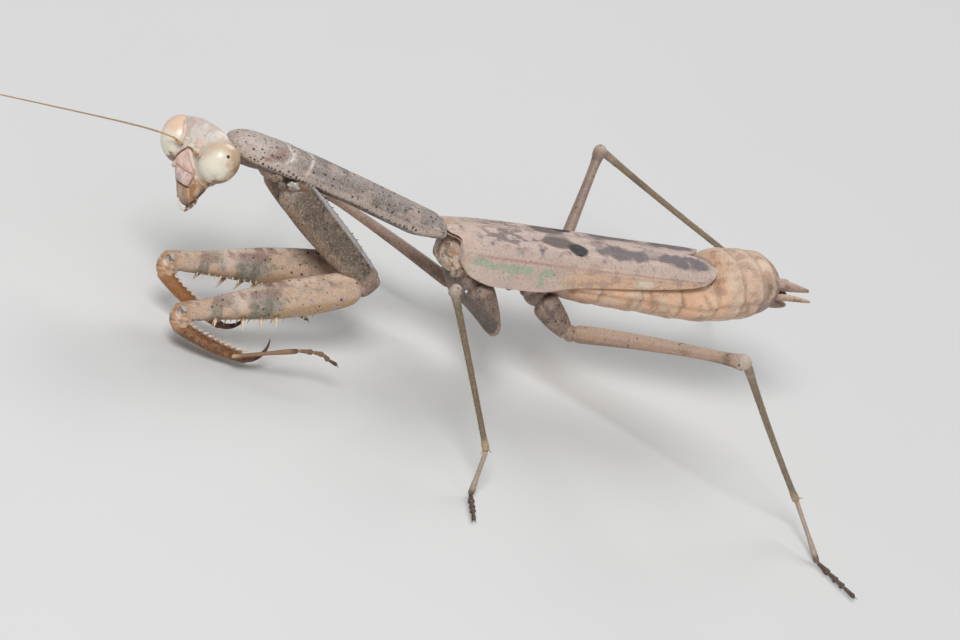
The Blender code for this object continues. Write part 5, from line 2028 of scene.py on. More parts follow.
@dataclass
class WalkingLeg(Maker):
    """One middle or hind leg from its coxa to its foot on the floor."""

    pair: Pair = Pair.MID
    side: Side = Side.LEFT
    root: Row = (3.65, 2.9, -4.55)
    femur_length: float = 13.6
    tibia_length: float = 12.2
    foot: Row = (3, 3.2)
    pose: Row = (37.3, 30.2, 129.5, 3.4, 75)  # femur azimuth and rise, shin azimuth, ankle height, foot azimuth
    dim: float = 0.26  # how light its femur is painted, 1 at the most; lower values lay painted shade over the whole femur

    def __post_init__(self) -> None:
        """Work out the joints."""
        azimuth, climb, shin_azimuth, ankle_height, _ = self.pose
        self.hip = self.stance.body @ Vector(self.root)
        self.femur_way = heading(azimuth, climb)
        self.knee = self.hip + self.femur_way * self.femur_length
        drop = degrees(asin((self.knee.z - ankle_height) / self.tibia_length))
        self.shin_way = heading(shin_azimuth, -drop)
        self.ankle = self.knee + self.shin_way * self.tibia_length

    @property
    def word(self) -> str:
        """The leg's part of a name, such as mid_coxa_left without the joint."""
        return f"{self.pair.value}_%s_{self.side.word}"

    @property
    def thick(self) -> float:
        """Hind legs are a little stouter."""
        return 1.18 if self.pair is Pair.HIND else 1.0

    def dimmed(self, *colour: float) -> Colour:
        """A femur colour, darkened by the painted shade laid over the whole femur."""
        return tuple(c * self.dim for c in colour)

    def make_coxa(self) -> None:
        """The stout coxa with a ridge on its outer face, and the small trochanter."""
        hind = self.pair is Pair.HIND
        s = self.side.sign
        top = self.stance.body @ Vector((s * 2.05, 6.7 if hind else 0.9, -1.75 if hind else -1.65))
        way = (self.hip - top).normalized()
        reach = (self.hip - top).length + 0.3
        place = frame_along(top, way, Vector((0, -1, 0.2)))

        def paint(p: Vector) -> Stain:
            """Grey-brown coxa with dark flecks and a pale end.

            Args:
                p: A point, in millimetres.

            Returns:
                Its stain.
            """
            coat = Coat((0.21, 0.145, 0.11) if hind else (0.19, 0.13, 0.095), 0.8)
            coat((0.36, 0.26, 0.21), 0.6 * mist(p, 0.9, 4, 0.5, 0.14))
            coat((0.1, 0.07, 0.055), 0.7 * mist(p, 1.6, 14, 0.6, 0.08))
            return coat((0.58, 0.46, 0.36), 0.8 * ease((p.x / reach - 0.86) / 0.08))

        coxa = Limb(straight(reach, ((0, 0.7, 0.95), (0.22, 0.86, 1.22), (0.6, 0.74, 1.02), (0.86, 0.56, 0.7),
            (1, 0.46, 0.55))), power=0.85, cap=0.8, cols=50, sides=40, relief=lambda t, a: 0.05 * cos(3 * a),
            paint=paint)
        pieces = [coxa.make("coxa", place)]
        knuckle = Limb(straight(1.35, ((0, 0.4, 0.46), (0.5, 0.5 * self.thick, 0.56 * self.thick), (1, 0.4, 0.46))),
            cap=0.9, cols=24, sides=28, paint=lambda p: over(BARE, (0.33, 0.22, 0.16), 0.85))
        pieces.append(knuckle.make("trochanter", frame_along(self.hip - self.femur_way * 0.35, self.femur_way, UP)))
        self.present(Bench.join(self.word % "coxa_skin", pieces), "leg", "trunk_cuticle", self.word % "coxa")

    def make_femur(self) -> None:
        """The slender femur with angular keels, swollen at the knee between two lobes."""
        begin = 0.55
        reach = self.femur_length - begin + 0.38
        k = self.thick
        place = frame_along(self.hip + self.femur_way * begin, self.femur_way, UP)
        bow = 0.25 if self.pair is Pair.HIND else 0.15
        table = ((0, 0.42 * k, 0.52 * k), (0.06, 0.43 * k, 0.56 * k), (0.45, 0.36 * k, 0.46 * k),
            (0.8, 0.3 * k, 0.37 * k), (0.9, 0.35 * k, 0.43 * k), (0.955, 0.46 * k, 0.55 * k),
            (0.985, 0.44 * k, 0.52 * k), (1, 0.34 * k, 0.42 * k))

        def paint(p: Vector) -> Stain:
            """Pinkish brown femur with a dark ring before its pale knee, lighter on top and darker below as painted
            light and shade, all darkened by the leg's painted shade.

            Args:
                p: A point, in millimetres.

            Returns:
                Its stain.
            """
            t = p.x / reach
            # The ground and its mottling are darkened as painted shade, by the leg's own amount.
            coat = Coat(self.dimmed(0.48, 0.31, 0.22), 1 - 0.2 * self.dim)
            coat(self.dimmed(0.3, 0.195, 0.14), 0.7 * mist(p, 0.5, 3, 0.5, 0.16))
            # Lighter top, painted light, and darker underside, painted shade.
            coat(self.dimmed(0.56, 0.42, 0.33), 0.5 * rise(p.z, 0.22, 0.15))
            coat(self.dimmed(0.22, 0.14, 0.1), 0.6 * rise(-p.z, 0.12, 0.2))
            coat((0.14, 0.09, 0.065), 0.6 * bump(t, 0.885, 0.02))
            return coat((0.5, 0.4, 0.32), 0.85 * rise(t, 0.925, 0.03))

        limb = Limb(straight(reach, table, bow), power=0.82, cap=1.3, cols=110, sides=32, paint=paint,
            relief=lambda t, a: 0.05 * cos(4 * a + 0.8) * fall(t, 0.93, 0.1)
            - 0.1 * rise(t, 0.95, 0.02) * bump(cos(a), 0, 0.22) * ease(-sin(a) / 0.3))
        piece = limb.make(self.word % "femur_skin", place)
        spur = Bench.copies(thorn(0.38, 0.07, 0.05, 8), [place @ limb.seat(0.975, -70, 0.9, 0.05)])[0]
        self.present(Bench.join(self.word % "femur_skin", [piece, spur]), "leg", "walking_femur", self.word % "femur")

    def make_tibia(self) -> None:
        """The thin tibia with a bent knee neck, fine bristles and two spurs at the ankle."""
        begin = 0.1
        reach = self.tibia_length - begin + 0.1
        place = frame_along(self.knee + self.shin_way * begin, self.shin_way, -self.femur_way)
        table = ((0, 0.3, 0.34), (0.05, 0.31, 0.36), (0.12, 0.27, 0.3), (0.55, 0.23, 0.25), (0.9, 0.22, 0.24),
            (0.965, 0.29, 0.3), (1, 0.27, 0.28))
        hind = self.pair is Pair.HIND

        def paint(p: Vector) -> Stain:
            """Olive shin, paler at both ends.

            Args:
                p: A point, in millimetres.

            Returns:
                Its stain.
            """
            t = p.x / reach
            tone = (0.24, 0.175, 0.105) if hind else (0.165, 0.12, 0.062)
            coat = Coat(tone, 0.8)
            coat((0.44, 0.35, 0.27), 0.8 * fall(t, 0.1, 0.06))
            coat((0.15, 0.1, 0.06), 0.5 * mist(p, 0.7, 7, 0.53, 0.12))
            coat((0.45, 0.33, 0.19), 0.8 * rise(t, 0.9, 0.05))
            return coat((0.12, 0.075, 0.045), 0.8 * rise(t, 0.985, 0.012))

        limb = Limb(straight(reach, table, 0.15), power=0.9, cap=0.8, cols=110, sides=20, paint=paint)
        piece = limb.make(self.word % "tibia_skin", place)
        spurs = [place @ limb.seat(0.985, angle, 0.8, 0.05) for angle in (-40, -140)]
        pieces = [self.dress(piece, "shin")]
        pieces += [self.dress(s, "shin") for s in Bench.copies(thorn(0.5, 0.06, 0.05, 8), spurs)]
        hairs = []
        chance = random.Random(11)
        for i in range(34):
            t = 0.1 + 0.024 * i
            angle = 360.0 * chance.random()
            hairs.append(place @ limb.seat(t, angle, 0.9, 0.02) @ Matrix.Scale(0.7 + 0.6 * chance.random(), 4))
        pieces += [self.dress(s, "tarsus") for s in Bench.copies(thorn(0.2, 0.018, 0.03, 5), hairs)]
        self.present(Bench.join(self.word % "tibia_skin", pieces), "", "walking_tibia", self.word % "tibia")

    def make_foot(self) -> None:
        """The foot: a sloping first joint and four flat ones on the floor."""
        first, rest = self.foot
        radius = 0.24
        heel = 0.26  # height of the first joint's lower end
        drop = self.ankle.z - 0.16 - 0.28
        first = max(first, drop * 1.12)
        run = sqrt(first * first - drop * drop)
        frame = frame_along(Vector((self.ankle.x, self.ankle.y, 0)), heading(self.pose[4], 0), UP)
        slope = -degrees(atan2(self.ankle.z - heel, run))
        joints = [(0, self.ankle.z, hypot(run, self.ankle.z - heel), slope)]
        x = run
        for share in (0.32, 0.22, 0.17, 0.29):
            joints.append((x, 0.255, rest * share, 0))
            x += rest * share
        piece = TarsusChain(self.stance, self.finishes).build(self.word % "tarsus_skin", frame, joints, radius, True)
        lift = min(vert.co.z for vert in piece.data.vertices)
        piece.data.transform(shift(0, 0, -lift))
        self.present(piece, "", "tarsus", self.word % "tarsus")

    def make(self) -> None:
        """Build the whole leg."""
        self.make_coxa()
        self.make_femur()
        self.make_tibia()
        self.make_foot()


# ---- wings and abdomen


@dataclass
class Wings(Maker):
    """Two leathery fore wings folded over the back, with raised veins, and the hind wings' edge."""

    start: float = -1.6
    length: float = 22.7
    thickness: float = 0.3
    roof: float = 2.38
    drop: float = 0.42
    girth: float = 6.4
    steps: int = 120
    veins: Rows = (
        # arc distance at the wing's root and at its end, height, breadth
        (3.58, 3.3, 0.11, 0.11), (3.9, 3.58, 0.05, 0.09), (2.35, 2.45, 0.035, 0.09), (1.6, 2.05, 0.03, 0.09),
        (0.8, 1.45, 0.03, 0.09), (4.2, 3.5, 0.025, 0.09),
    )
    margins: Rows = (
        # share of the length, arc of the inner margin, arc of the outer margin, breadth
        (0, 0.35, 4.4, 0.8), (0.05, 0.12, 5.5, 0.88), (0.13, 0.06, 5.9, 0.96), (0.3, 0.06, 5.8, 1),
        (0.45, 0.06, 5.1, 1), (0.7, 0.06, 4.55, 0.99), (0.86, 0.06, 4.1, 0.98), (0.94, 0.45, 3.7, 0.97),
        (0.985, 1.3, 2.95, 0.96), (1, 1.85, 2.35, 0.96),
    )

    def __post_init__(self) -> None:
        """Roll out the cross-section of the folded wings: flat top, shoulder, steep side."""
        self.step = self.girth / self.steps
        self.profile = [(0, 0)]
        for i in range(self.steps):
            slant = radians(9 + 64 * ease((self.girth * (i + 0.5) / self.steps - 1.5) / 2.3))
            x, z = self.profile[-1]
            self.profile.append((x + self.step * cos(slant), z - self.step * sin(slant)))

    def on_profile(self, arc: float) -> tuple[float, float, float, float]:
        """Point and inward normal of the cross-section at an arc distance from the middle.

        Args:
            arc: The distance.

        Returns:
            Point y and z, then normal y and z.
        """
        k = min(max(arc / self.step, 0), len(self.profile) - 1.001)
        i = int(k)
        x0, z0 = self.profile[i]
        x1, z1 = self.profile[i + 1]
        dx = (x1 - x0) / self.step
        dz = (z1 - z0) / self.step
        return x0 + (x1 - x0) * (k - i), z0 + (z1 - z0) * (k - i), dz, -dx

    def sheet(self, side: Side, u: float, v: float) -> Vector:
        """A point of one wing for u along it and v round its two faces.

        Args:
            side: Which side.
            u: Share along it.
            v: Share round it.

        Returns:
            The point.
        """
        t = 1.0 - (1 - u) ** 1.25
        first, last, wide = curve(self.margins, t)
        over_top = v <= 0.62
        w = v / 0.62 if over_top else (1 - v) / 0.38
        arc = first + (last - first) * w
        x, z, nx, nz = self.on_profile(arc)
        edge = dome(min(w, 1 - w) * (last - first) / 0.14)
        deep = 0.5 * self.thickness
        lift = 0.0
        if over_top:
            for a0, a1, height, breadth in self.veins:
                lift += height * exp(-(((arc - a0 - (a1 - a0) * t) / breadth) ** 2)) * fall(t, 1, 0.08)
            lift += 0.03 * sin(2.4 * arc + 9 * t) * ease(w / 0.1) * fall(w, 1, 0.1)
        depth = deep - (deep * edge + lift) if over_top else deep + deep * edge
        stack = 0.05 if side is Side.LEFT else -0.05
        x = (x + nx * depth) * wide
        z = self.roof - self.drop * t + z + nz * depth + stack * fall(arc, 1.6, 1)
        ahead = 0.95 * (1 - t) ** 9 * (1 - rise(arc, 1.3, 1.6))
        return Vector((side.sign * max(x, -0.25), self.start + self.length * t - ahead, z - 0.25 * ahead))

    def wing_paint(self, p: Vector) -> Stain:
        """Pinkish wing with green fore patches, dark cloudy smudges, mottling and a black mark.

        Args:
            p: A point, in millimetres.

        Returns:
            Its stain.
        """
        x = abs(p.x)
        top = rise(x, 2.62, 0.28)
        upper = 1.0 - top
        t = (p.y - self.start) / self.length
        coat = Coat((0.6, 0.47, 0.4), 0.8 * fall(t, 0.16, 0.12))
        coat((0.5, 0.33, 0.2), 0.6 * fall(t, 0.05, 0.04) * mist(p, 0.9, 8, 0.45, 0.1))
        mottle = haze(Vector((p.x * 1.3, p.y * 0.75, 1)), 1, 21)
        coat((0.6, 0.44, 0.38), 0.6 * upper * rise(mottle, 0.45, 0.2))
        fleck = haze(Vector((p.x * 2.6, p.y * 1.3, 3)), 1, 5)
        zone = blotch(p.y, x, 3.3, 1.2, 3.3, 1.4)
        coat((0.22, 0.165, 0.15), 0.9 * upper * zone * rise(fleck, 0.5, 0.1))
        grey = (0.15, 0.12, 0.122)
        cloud = haze(Vector((p.x * 1.5, p.y * 1.1, 7)), 1, 33) - 0.5
        spots = ((12.8, 1.55, 2.5, 0.85, 0.95), (18.7, 1.55, 2.9, 0.9, 1), (11, 0.7, 1.2, 0.6, 0.5),
            (15.8, 1.1, 1.4, 0.7, 0.45), (7.2, 0.75, 1.3, 0.75, 0.6))
        for cy, cx, ry, rx, strength in spots:
            soft = blotch(p.y, x, cy, cx, ry, rx)
            coat(grey, strength * upper * ease((soft + cloud - 0.04) / 0.9))
        coat((0.13, 0.095, 0.085), 0.95 * upper * ease(1.5 * blotch(p.y, x, 7, 1.25, 1.4, 0.75)))
        coat((0.006, 0.005, 0.006), ease(2.2 * blotch(p.y, x, 8.55, 1.8, 0.8, 0.62)))
        at = self.on_profile(3.62 - 0.27 * t)
        line = bump(hypot(x - at[0], p.z - self.roof + self.drop * t - at[1]), 0, 0.2) * rise(t, 0.02, 0.03)
        coat((0.5, 0.3, 0.25), 0.75 * line)
        green = (0.36, 0.41, 0.3)
        leaf = haze(Vector((p.x, p.y * 0.8, p.z * 1.2)), 1.3, 41) - 0.5
        for cy, cz, ry, rz in ((0.1, 0.38, 1.1, 0.36), (2.7, 0.26, 1.9, 0.36), (5.9, 0.18, 0.9, 0.34)):
            coat(green, 0.8 * top * ease((blotch(p.y, p.z, cy, cz, ry, rz) + 1.8 * leaf - 0.22) / 0.6))
        coat((0.6, 0.45, 0.37), 0.65 * top * rise(p.y, 7.2, 1.5))
        coat((0.66, 0.42, 0.27), 0.8 * top * rise(p.y, 5.5, 4) * fall(p.z, 0.95, 0.8))
        coat((0.4, 0.27, 0.22), 0.6 * top * rise(p.y, 7, 1.5) * rise(leaf, 0.06, 0.12))
        for cy, cz, ry, rz in ((14.5, 0.22, 1, 0.32), (18.2, -0.15, 0.8, 0.3)):
            coat((0.72, 0.62, 0.5), 0.8 * top * blotch(p.y, p.z, cy, cz, ry, rz))
        return coat((0.62, 0.5, 0.42), 0.6 * rise(t, 0.955, 0.03))

    def make(self) -> None:
        """Build both wings and the edge of the hind wings under them."""
        back = self.stance.back
        for side in Side:
            piece = Bench.wrap("tegmen_sheet_" + side.word, 210, 104, back,
                lambda u, v, which=side: self.sheet(which, u, v), self.wing_paint)
            self.present(piece, "wing", "tegmen", "tegmen_" + side.word)
        rows = ((0, 0, 0.9), (0.3, 0, 1.9), (1, 0, 1.2))

        def under(u: float, v: float) -> Vector:
            """A point of the folded hind wings.

            Args:
                u: Share along it.
                v: Share round it.

            Returns:
                The point.
            """
            half = curve(rows, u)[1]
            a = tau * v
            close = dome(min(u, 1 - u) / 0.05)
            return Vector((half * close * cos(a), 8 + 13.6 * u, 1.75 - 0.18 * cos(a) ** 2 - 0.25 * u + 0.1 * close
                * sin(a)))

        fold = Bench.wrap("hind_wing_edge", 60, 32, back, under, lambda p: over(BARE, (0.3, 0.2, 0.16), 0.8))
        self.present(fold, "wing", "tegmen")


@dataclass
class Abdomen(Maker):
    """The abdomen's overlapping rings, its pale side folds, and the plates and cerci at its end."""

    start: float = 6.4
    length: float = 21.35
    edges: Sequence[float] = (7.6, 10.9, 14.6, 18.3, 21.3, 23.4, 25.2, 26.5)
    sections: Rows = ((6.6, 2.3, 2.1, 0.7, -2.3), (9.5, 3, 2.6, 0.8, -2.7), (12.5, 3.15, 2.6, 0.85, -2.9),
        (15.5, 3.08, 2.5, 0.82, -3.05), (18.5, 3.12, 2.45, 0.78, -3.25), (20.5, 3.28, 2.45, 0.78, -3.2),
        (22.2, 3.65, 3.5, 2.1, -3.02), (24.2, 3.55, 3.5, 2.4, -2.65), (26, 3, 3, 2.45, -2),
        (27.1, 2.3, 2.3, 1.95, -1.3), (27.6, 1.6, 1.6, 1.55, -0.9))

    def surface(self, u: float, v: float) -> Vector:
        """A point of the abdomen for u along it and v round it.

        Args:
            u: Share along it.
            v: Share round it.

        Returns:
            The point.
        """
        y = self.start + self.length * (0.9 * u + 0.1 * (0.5 - 0.5 * cos(pi * u)))
        low, high, top, bottom = curve(self.sections, y)
        a = tau * v - 0.5 * pi
        x, z = oval_point(a, 1, 1, 0.9)
        half = low + (high - low) * max(z, 0)
        close = dome(min(u, 1 - u) / 0.045)
        swell = 0.0
        bend = 0.35 * (z if z > 0 else -z * 0.6)
        for before, edge in zip((self.edges[0] - 2, *self.edges), self.edges):
            k = (y + bend - before) / (edge - before)
            if 0.0 < k <= 1.0:
                swell = 0.022 * k ** 2 - 0.012 * (1 - k) ** 4
        fold = bump(z, -0.12, 0.1)
        swell += -0.035 * fold + 0.02 * bump(z, 0.1, 0.12)
        swell += 0.008 * sin(3.1 * y + 5 * a)
        middle = 0.5 * (top + bottom)
        return Vector((x * half * close * (1 + swell), y, middle + z * 0.5 * (top - bottom) * close * (1 + swell)))

    def paint(self, p: Vector) -> Stain:
        """Orange-cream rings with dark rear edges, a pinker belly and a tan end.

        Args:
            p: A point, in millimetres.

        Returns:
            Its stain.
        """
        low, high, top, bottom = curve(self.sections, p.y)
        z = (p.z - 0.5 * (top + bottom)) / (0.5 * (top - bottom))
        coat = Coat((0.78, 0.48, 0.3), 0.85 * rise(z, -0.62, 0.2))
        coat((0.66, 0.41, 0.28), 0.8 * fall(z, -0.35, 0.25))
        coat((0.64, 0.45, 0.33), 0.85 * rise(p.y, 21.6, 0.8))
        coat((0.4, 0.24, 0.16), 0.65 * mist(p, 0.9, 3, 0.53, 0.13))
        coat((0.74, 0.58, 0.44), 0.6 * mist(p, 0.8, 17, 0.54, 0.12))
        bend = 0.35 * (z if z > 0 else -z * 0.6)
        for edge in self.edges:
            coat((0.3, 0.18, 0.12), 0.45 * bump(p.y + bend, edge + 0.1, 0.16))
            coat((0.66, 0.5, 0.38), 0.4 * bump(p.y + bend, edge - 0.22, 0.2))
        coat((0.4, 0.23, 0.15), 0.4 * bump(z, -0.12, 0.09))
        coat((0.16, 0.11, 0.09), 0.75 * rise(p.y, 26.2, 0.6) * mist(p, 1.1, 29, 0.4, 0.2))
        coat((0.22, 0.14, 0.11), 0.8 * rise(p.y, 25, 0.8) * fall(z, 0.75, 0.3) * mist(p, 0.9, 29, 0.4, 0.12))
        return coat((0.2, 0.13, 0.1), 0.7 * rise(p.y, 23, 2) * fall(z, 0.1, 0.4) * mist(p, 0.8, 4, 0.36, 0.2))

    def make_rings(self) -> None:
        """The abdomen itself."""
        piece = Bench.wrap("abdomen_skin", 170, 96, self.stance.back, self.surface, self.paint)
        self.present(piece, "abdomen", "abdomen_cuticle", "abdomen")

    def make_end(self) -> None:
        """Roof plate, lower plate with its valves, and two beaded cerci."""
        back = self.stance.back

        def tone(p: Vector) -> Stain:
            """Brown plates with a pale band.

            Args:
                p: A point, in millimetres.

            Returns:
                Its stain.
            """
            coat = Coat((0.44, 0.29, 0.21), 0.8)
            coat((0.22, 0.14, 0.1), 0.7 * mist(p, 1.3, 9, 0.52, 0.12))
            return coat((0.62, 0.46, 0.35), 0.7 * bump(p.y, 0, 0.18) * rise(p.z, 0.1, 0.1))

        place = back @ shift(0, 26.9, 0.42) @ rot("Z", 90) @ rot("Y", 6)
        roof = Limb(straight(4.4, ((0, 1.15, 0.5), (0.3, 0.95, 0.42), (0.7, 0.52, 0.28), (1, 0.16, 0.12))), power=0.8,
            cap=0.8, cols=50, sides=36, relief=lambda t, a: 0.1 * bump(cos(a), 0, 0.18) * ease(sin(a)), paint=tone)
        self.present(roof.make("roof_plate", place), "tail", "tail_plates", "anal_plate")
        place = back @ shift(0, 26.7, -1.05) @ rot("Z", 90) @ rot("Y", 8)
        floor = Limb(straight(2.9, ((0, 0.9, 0.55), (0.4, 0.88, 0.48), (0.8, 0.5, 0.32), (1, 0.16, 0.12))),
            power=0.85, cap=0.8, cols=40, sides=32, paint=tone)
        pieces = [floor.make("floor_plate", place)]
        for s in (-1, 1):
            valve = Limb(straight(2.2, ((0, 0.22, 0.26), (0.6, 0.17, 0.22), (1, 0.07, 0.08)), -0.08), cols=24,
                sides=18, paint=lambda p: over(BARE, (0.2, 0.11, 0.07), 0.9))
            pieces.append(valve.make("valve", back @ shift(0.2 * s, 27.1, -0.45) @ rot("Z", 90 + 3 * s)))
        self.present(Bench.join("floor_plate", pieces), "tail", "tail_plates", "genital_plate")
        for side in Side:
            s = side.sign
            start = back @ Vector((s * 1.1, 27.3, -0.44))
            way = (back @ Vector((s * 2, 30.4, -0.15))) - start
            rows = []
            for i in range(61):
                t = i / 60
                half, = curve(((0, 0.24), (0.35, 0.3), (0.8, 0.2), (1, 0.09)), t)
                half *= 1.0 + 0.13 * abs(sin(9.5 * pi * t)) - 0.06
                rows.append((t, way.length * t, 0.1 * sin(pi * t), half, half * 0.85))
            cercus = Limb(rows, cap=0.9, cols=90, sides=20, paint=tone)
            self.present(cercus.make("cercus_beads_" + side.word, frame_along(start, way, UP)), "tail", "tail_plates",
                "cercus_" + side.word)

    def make(self) -> None:
        """Build the abdomen and its end."""
        self.make_rings()
        self.make_end()


# ---- finishes and studio


@dataclass(frozen=True)
class Glaze:
    """The eyes' finish: painted cream under a soft wet coat, with a faint facet grain."""

    name: str = "eye_glaze"

    def make(self) -> Finish:
        """Build the material.

        Returns:
            The material.
        """
        recipe = Recipe(self.name)
        point = recipe.point()
        cloud = recipe.grain(point, 1.1, 3, 0.5)
        colour = recipe.blend(cloud.step(0.35, 0.7) * 0.5, (0.84, 0.77, 0.66), (0.7, 0.62, 0.5))
        paint, amount = recipe.stain()
        colour = recipe.blend(amount, colour, paint)
        facet = recipe.node("ShaderNodeTexVoronoi", {}, {"Vector": point, "Scale": 16})
        recipe.paint_with(colour, cloud * 0.12 + 0.3)
        recipe.relief(facet, 0.004, 0.6)
        recipe.fix({"Subsurface Weight": 0.25, "Subsurface Radius": (0.0008, 0.0006, 0.0004), "Subsurface Scale": 0.7,
            "Coat Weight": 0.35, "Coat Roughness": 0.12})
        return recipe.material


@dataclass(frozen=True)
class Leather:
    """The fore wings' finish: matt, cloudy, with a fine net of cross veins."""

    name: str = "wing_leather"
    ground: Colour = (0.57, 0.44, 0.385)
    shade: Colour = (0.47, 0.36, 0.315)

    def make(self) -> Finish:
        """Build the material.

        Returns:
            The material.
        """
        recipe = Recipe(self.name)
        point = recipe.point()
        flow = recipe.node("ShaderNodeVectorMath", {"operation": "MULTIPLY"}, {0: point, 1: (1.4, 0.7, 1.4)})
        net = recipe.node("ShaderNodeTexVoronoi", {"feature": "DISTANCE_TO_EDGE"}, {"Vector": flow, "Scale": 2.4,
            "Randomness": 0.9})
        web = net.step(0.07, 0)
        cloud = recipe.grain(point, 0.8, 5, 0.6)
        fine = recipe.grain(point, 6, 4, 0.6)
        colour = recipe.blend(cloud.step(0.4, 0.64) * 0.6, self.ground, self.shade)
        paint, amount = recipe.stain()
        wobble = recipe.grain(point, 3.2, 5, 0.65) - 0.5
        amount = amount + amount * (1 - amount) * 4.0 * wobble
        colour = recipe.blend(amount.step(0, 1), colour, paint)
        colour = recipe.blend(web * 0.1, colour, (0.66, 0.53, 0.45))
        flecks = {0: fine.step(0.5, 0.32) * 0.42, 6: colour, 7: (0.34, 0.3, 0.29)}
        colour = recipe.node("ShaderNodeMix", {"data_type": "RGBA", "blend_type": "DODGE"}, flecks, 2)
        colour = recipe.blend(fine.step(0.53, 0.72) * 0.4, colour, (0.1, 0.07, 0.06))
        colour = recipe.blend(recipe.specks(point, 1.4, 0.13, 0.14) * 0.7, colour, (0.06, 0.04, 0.035))
        recipe.paint_with(colour, fine * 0.2 + 0.46)
        recipe.relief(web * 0.25 + fine * 0.35 + cloud * 0.5, 0.04)
        recipe.fix({"Subsurface Weight": 0.08, "Subsurface Radius": (0.0006, 0.0004, 0.0003),
            "Specular IOR Level": 0.4})
        return recipe.material


def finishes() -> dict[str, Finish]:
    """Every finish of the animal by its plain name.

    Returns:
        The materials.
    """
    made = {
        "face": Cuticle("face", (0.76, 0.66, 0.57), (0.64, 0.51, 0.45), speckle=0.16, rough=0.46, grain=0.02,
            cloud_scale=1.2, edge=0.5, glow=0.15),
        "ocellus": Cuticle("ocellus", (0.8, 0.7, 0.52), (0.6, 0.44, 0.28), speckle=0.05, rough=0.22, coat=0.6,
            grain=0.005),
        "mouth": Cuticle("mouth", (0.42, 0.25, 0.16), (0.28, 0.15, 0.09), speckle=0.25, rough=0.36, coat=0.2,
            grain=0.02),
        "antenna": Cuticle("antenna", (0.36, 0.22, 0.11), (0.22, 0.12, 0.06), speckle=0.2, grain=0.01),
        "soft": Cuticle("soft_skin", (0.52, 0.38, 0.32), (0.36, 0.24, 0.19), rough=0.6, grain=0.06, grain_scale=5,
            glow=0.2),
        "pronotum": Cuticle("pronotum", (0.33, 0.27, 0.24), (0.225, 0.183, 0.165), dots=0.95, dot_scale=2.9,
            dot_size=0.4, grain=0.05, speckle=0.34, edge=0.6),
        "trunk": Cuticle("trunk", (0.44, 0.34, 0.28), (0.32, 0.23, 0.18), dots=0.4, dot_scale=2, dot_size=0.2,
            grain=0.05),
        # The fore coxa's dark ground is partly painted shade, as its upper part lies under the head and pronotum.
        "fore": Cuticle("fore_coxa", (0.16, 0.115, 0.078), (0.108, 0.076, 0.051), dots=0.8, dot_scale=2.1,
            dot_size=0.27, grain=0.05, speckle=0.4),
        "femur": Cuticle("fore_femur", (0.52, 0.38, 0.28), (0.42, 0.29, 0.2), dots=0.8, dot_scale=2.3, dot_size=0.3,
            grain=0.035, speckle=0.3, glow=0.12),
        "tibia": Cuticle("fore_tibia", (0.3, 0.12, 0.035), (0.19, 0.07, 0.02), speckle=0.2, rough=0.4, coat=0.15,
            grain=0.03),
        "horn": Cuticle("spine_horn", (0.84, 0.7, 0.54), (0.56, 0.36, 0.21), cloud_scale=1.6, speckle=0.15, rough=0.35,
            coat=0.25, grain=0.01),
        "joint": Cuticle("joint_skin", (0.54, 0.49, 0.43), (0.4, 0.33, 0.28), speckle=0.12, rough=0.25, coat=0.5,
            grain=0.01),
        "ink": Cuticle("dark_points", (0.045, 0.03, 0.024), (0.02, 0.014, 0.012), speckle=0.2, rough=0.4, grain=0.01),
        "leg": Cuticle("walking_leg", (0.42, 0.285, 0.21), (0.31, 0.21, 0.15), dots=0.6, dot_scale=2.4, dot_size=0.3,
            grain=0.04, edge=0.6),
        "shin": Cuticle("walking_shin", (0.33, 0.25, 0.175), (0.235, 0.17, 0.115), dots=0.4, dot_scale=3,
            dot_size=0.18, grain=0.03),
        "tarsus": Cuticle("tarsus", (0.26, 0.15, 0.075), (0.16, 0.09, 0.045), speckle=0.25, grain=0.02),
        "abdomen": Cuticle("abdomen", (0.6, 0.38, 0.25), (0.5, 0.3, 0.2), dots=0.4, dot_scale=1.8, dot_size=0.2,
            grain=0.05, speckle=0.28, glow=0.14),
        "tail": Cuticle("tail", (0.42, 0.28, 0.2), (0.28, 0.18, 0.13), grain=0.04),
    }
    kit = {name: finish.make() for name, finish in made.items()}
    kit["eye"] = Glaze().make()
    kit["wing"] = Leather().make()
    return kit


